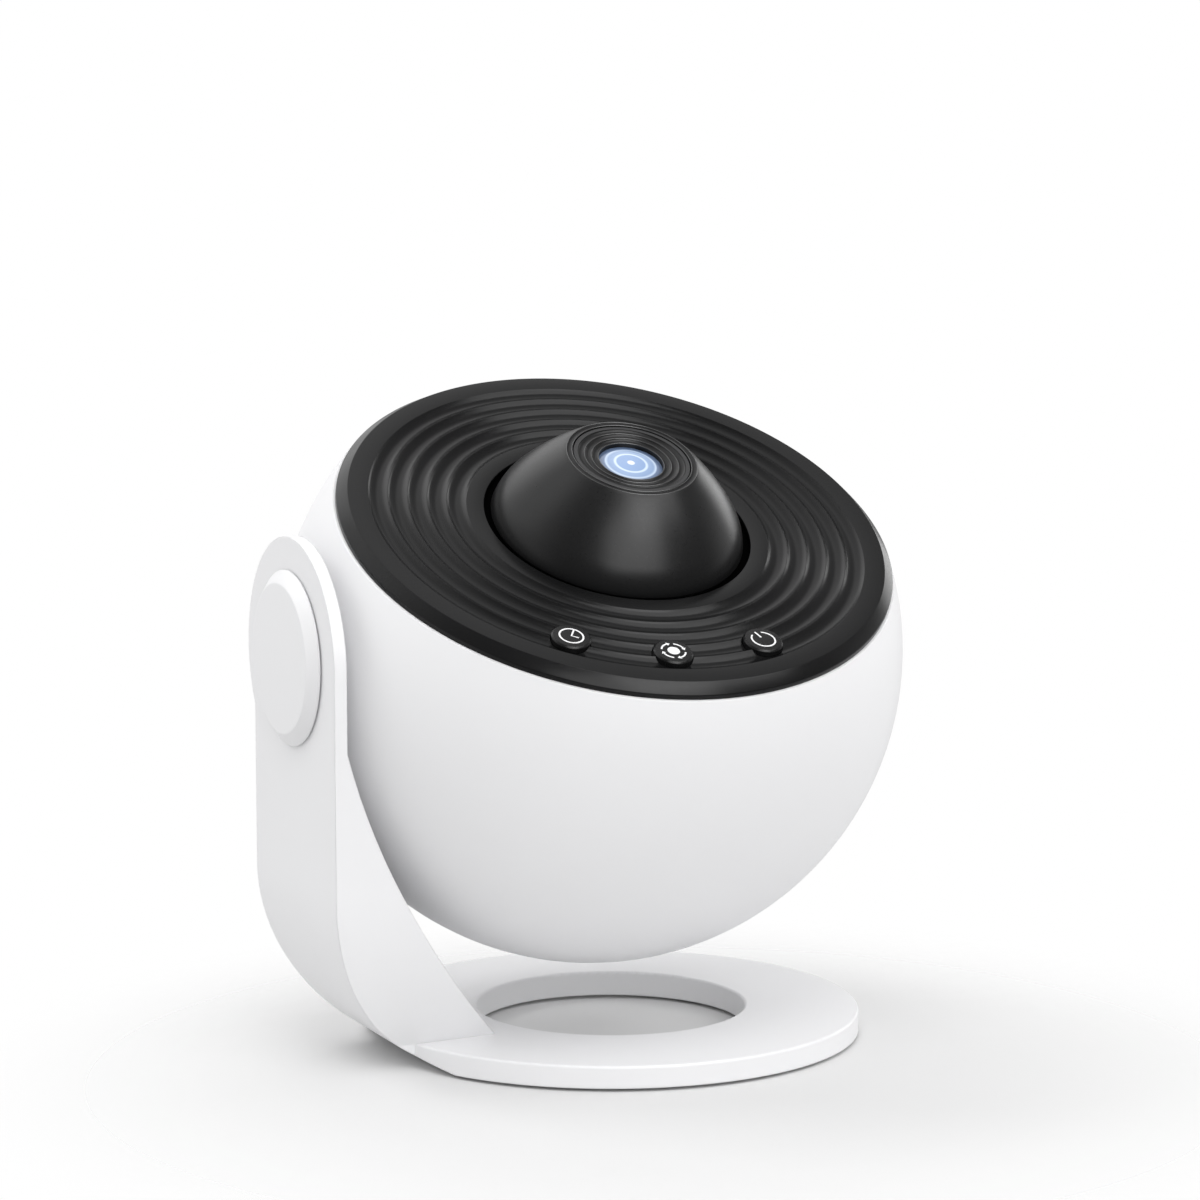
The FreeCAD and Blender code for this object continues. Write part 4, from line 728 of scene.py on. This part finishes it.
def power_icon(work):
    """An open ring with a stroke in its gap."""
    strip(work, curve_points(ICON_RING, POWER_GAP, 360 - POWER_GAP, POWER_STEPS), ICON_LINE)
    strip(work, [Vector((0, ICON_RING + ICON_LINE, 0)), Vector((0, ICON_LINE * 2, 0))], ICON_LINE)


# One button, by its height over the ball's centre
BUTTON_RADIUS = 4.05
BUTTON_TOP = 32.1
BUTTON_BEVEL = 0.35
BUTTON_ROUND = 0.2
LIP_RADIUS = 4.95
LIP_TOP = 28.75
LIP_LOW = 28.15
STEM_RADIUS = 1.6
STEM_LOW = 26.7


def button_cap(name, turn):
    """One low round button."""
    lathe(name + "_cap", [
        (0.0, STEM_LOW, SHARP),
        (STEM_RADIUS, STEM_LOW, FINE),
        (STEM_RADIUS, LIP_LOW, SHARP),
        (LIP_RADIUS, LIP_LOW, FINE),
        (LIP_RADIUS, LIP_TOP, FINE),
        (BUTTON_RADIUS, LIP_TOP, SHARP),
        (BUTTON_RADIUS, BUTTON_TOP - BUTTON_BEVEL, BUTTON_ROUND),
        (BUTTON_RADIUS - BUTTON_BEVEL, BUTTON_TOP, BUTTON_ROUND),
        (0.0, BUTTON_TOP, SHARP),
    ], name + "_key", "black_button", [name + "_button"], axes=on_face(turn))


def button_icon(name, turn, draw_icon):
    """The raised icon of a button, set towards the middle of the face."""
    work = bmesh.new()
    draw_icon(work)
    bmesh.ops.recalc_face_normals(work, faces=work.faces)
    lift = bmesh.ops.extrude_face_region(work, geom=work.faces[:])
    raised = [item for item in lift["geom"] if isinstance(item, bmesh.types.BMVert)]
    bmesh.ops.translate(work, verts=raised, vec=(0, 0, ICON_RAISE * MM))
    bmesh.ops.recalc_face_normals(work, faces=work.faces)
    icon_axes = on_face(turn, BUTTON_TOP - ICON_SINK) @ Matrix.Rotation(math.radians(turn), 4, "Z")
    finished(work, name + "_icon", name + "_key", "icon_ink", axes=icon_axes)


def face_buttons():
    """The three buttons with their icons."""
    icons = {"timer": clock_icon, "mode": rotate_icon, "power": power_icon}
    for (name, draw_icon), turn in zip(icons.items(), BUTTON_TURNS):
        button_cap(name, turn)
        button_icon(name, turn, draw_icon)


face_plate()
gap_shade_ring()
focus_dome()
ringed_hood()
lit_lens()
arm_cap()
face_buttons()


# Studio: a pale floor that keeps the shadow and carries a painted soft shadow round the object, soft light
# and the camera
FLOOR_RADIUS = 2.5
FLOOR_STEPS = 96
FLOOR_DROP = 0.0002
# The floor's grey near the object and its fade are a painted soft shadow, its middle shifted towards the
# front.
SHADOW_SHIFT = -0.04
FLOOR_SHADOW_GREY = (0.71, 0.71, 0.71, 1.0)
SHADOW_FADE_START = 0.06
SHADOW_FADE_END = 0.15


def floor():
    """Pale grey floor near the object, a painted soft shadow, that fades into the white backdrop further
    out.
    """
    mesh = bpy.data.meshes.new("floor")
    work = bmesh.new()
    bmesh.ops.create_circle(work, cap_ends=True, segments=FLOOR_STEPS, radius=FLOOR_RADIUS)
    work.to_mesh(mesh)
    work.free()
    plane = bpy.data.objects.new("floor", mesh)
    bpy.context.scene.collection.objects.link(plane)
    plane.location = (0.0, SHADOW_SHIFT, -FLOOR_DROP)
    make = Maker("floor")
    make.constant(Base_Color=FLOOR_SHADOW_GREY, Roughness=0.9, Specular_IOR_Level=0.1)
    clear = make.add("ShaderNodeBsdfTransparent").outputs["BSDF"]
    # The fade from grey to clear paints a soft shadow round the object.
    fade = make.smooth_step(make.distance_from_axis(), SHADOW_FADE_START, SHADOW_FADE_END, 0.0, 1.0)
    faded = make.mixed(fade, make.shader.outputs["BSDF"], clear)
    make.link(faded, make.tree.nodes["Material Output"].inputs["Surface"])
    plane.data.materials.append(make.material)


# Even light on matt surfaces; gloss shows white walls with three dim sides.
# A dim side is a heading, the closeness to it at which it begins and is full, and its level.
EVEN_LIGHT = 0.76
WALL_LIGHT = 1.0
CAMERA_SIDE = ((0.0, -1.0, 0.0), -0.15, 0.45, 0.22)
RIGHT_SIDE = ((0.77, 0.22, 0.60), 0.84, 0.96, 0.35)
FAR_SIDE = ((0.56, 0.83, 0.0), 0.90, 0.98, 0.30)


def glossy_walls(make):
    """Strength of the walls in gloss: white, but dimmer towards the dim sides."""
    heading = make.add("ShaderNodeTexCoord").outputs["Generated"]
    strength = None
    for side, begin, full, level in (CAMERA_SIDE, RIGHT_SIDE, FAR_SIDE):
        closeness = make.add("ShaderNodeVectorMath")
        closeness.operation = "DOT_PRODUCT"
        closeness.inputs[1].default_value = side
        make.link(heading, closeness.inputs[0])
        dimmed = make.smooth_step(closeness.outputs["Value"], begin, full, WALL_LIGHT, level)
        if strength is None:
            strength = dimmed
            continue
        both = make.add("ShaderNodeMath")
        both.operation = "MULTIPLY"
        make.link(strength, both.inputs[0])
        make.link(dimmed, both.inputs[1])
        strength = both.outputs["Value"]
    return strength


def backdrop():
    """A white studio all round, dimmer on three sides in gloss, and plain even light on the object."""
    world = bpy.data.worlds.new("studio")
    bpy.context.scene.world = world
    world.use_nodes = True
    world.node_tree.nodes.clear()
    make = Tree(world.node_tree)
    path = make.add("ShaderNodeLightPath")
    white = (1.0, 1.0, 1.0, 1.0)
    result = make.add("ShaderNodeBackground", Color=white, Strength=EVEN_LIGHT).outputs["Background"]
    for ray in ("Is Glossy Ray", "Is Transmission Ray", "Is Camera Ray"):
        wall = make.add("ShaderNodeBackground", Color=white, Strength=WALL_LIGHT)
        if ray == "Is Glossy Ray":
            make.link(glossy_walls(make), wall.inputs["Strength"])
        result = make.mixed(path.outputs[ray], result, wall.outputs["Background"])
    make.link(result, make.add("ShaderNodeOutputWorld").inputs["Surface"])


# A lamp is its name, its heading from the ball, its distance, its width and height, and its power in watts
MATT_LAMPS = (
    ("top_light", (-0.25, -0.50, 0.83), 1.3, (0.8, 0.8), 4.6),
    ("front_fill", (0.15, -0.88, 0.42), 1.3, (0.8, 0.8), 3.6),
    ("right_fill", (0.85, -0.15, 0.45), 1.1, (0.6, 0.6), 2.2),
    ("left_fill", (-0.53, 0.43, 0.73), 1.1, (0.5, 0.5), 2.8),
    ("back_fill", (0.25, 0.75, 0.62), 1.2, (0.8, 0.8), 1.6),
)
GLOSS_LAMPS = (
    ("left_strip", (-0.53, 0.43, 0.73), 1.1, (0.5, 0.5), 8.0),
    ("back_strip", (-0.17, 0.78, 0.60), 1.1, (0.6, 0.6), 0.7),
    ("right_strip", (0.84, 0.48, 0.22), 1.1, (0.5, 0.4), 1.2),
    ("front_strip", (-0.02, -0.93, 0.37), 1.4, (1.2, 0.9), 12.5),
    ("face_strip", (0.28, -0.60, 0.75), 1.3, (1.2, 1.0), 14.0),
)


def facing_ball(name, data, outward, reach):
    """Stand a lamp or camera at a heading from the ball and turn it to the ball."""
    thing = bpy.data.objects.new(name, data)
    bpy.context.scene.collection.objects.link(thing)
    thing.location = ball_centre + outward * reach
    thing.rotation_euler = (-outward).to_track_quat("-Z", "Y").to_euler()
    return thing


def soft_light(name, heading, reach, size, power, in_gloss):
    """A lamp that shows in glossy surfaces alone or lights matt ones alone."""
    data = bpy.data.lights.new(name, "AREA")
    data.shape = "RECTANGLE"
    data.size, data.size_y = size
    data.energy = power
    lamp = facing_ball(name, data, Vector(heading).normalized(), reach)
    lamp.visible_diffuse = not in_gloss
    lamp.visible_glossy = in_gloss


# The photograph's view, fitted to the ball, the face and the base ring
VIEW_AZIMUTH = math.radians(24.13)
VIEW_HEIGHT = math.radians(9.29)
VIEW_REACH = 0.9776
VIEW_LENS = 141.06
SENSOR_WIDTH = 36.0
PHOTO_WIDTH = 1200
VIEW_SHIFT = (10.5 / PHOTO_WIDTH, 49.7 / PHOTO_WIDTH)
NEAREST = 0.01


def camera():
    """Stand the camera at the photograph's view."""
    level = math.cos(VIEW_HEIGHT)
    aside = -math.sin(VIEW_AZIMUTH) * level
    ahead = -math.cos(VIEW_AZIMUTH) * level
    data = bpy.data.cameras.new("camera")
    data.sensor_width = SENSOR_WIDTH
    data.lens = VIEW_LENS
    data.shift_x, data.shift_y = VIEW_SHIFT
    data.clip_start = NEAREST
    outward = Vector((aside, ahead, math.sin(VIEW_HEIGHT)))
    bpy.context.scene.camera = facing_ball("camera", data, outward, VIEW_REACH)


floor()
backdrop()
for lamps, in_gloss in ((MATT_LAMPS, False), (GLOSS_LAMPS, True)):
    for lamp in lamps:
        soft_light(*lamp, in_gloss)
camera()

bpy.context.scene.view_settings.view_transform = "Standard"
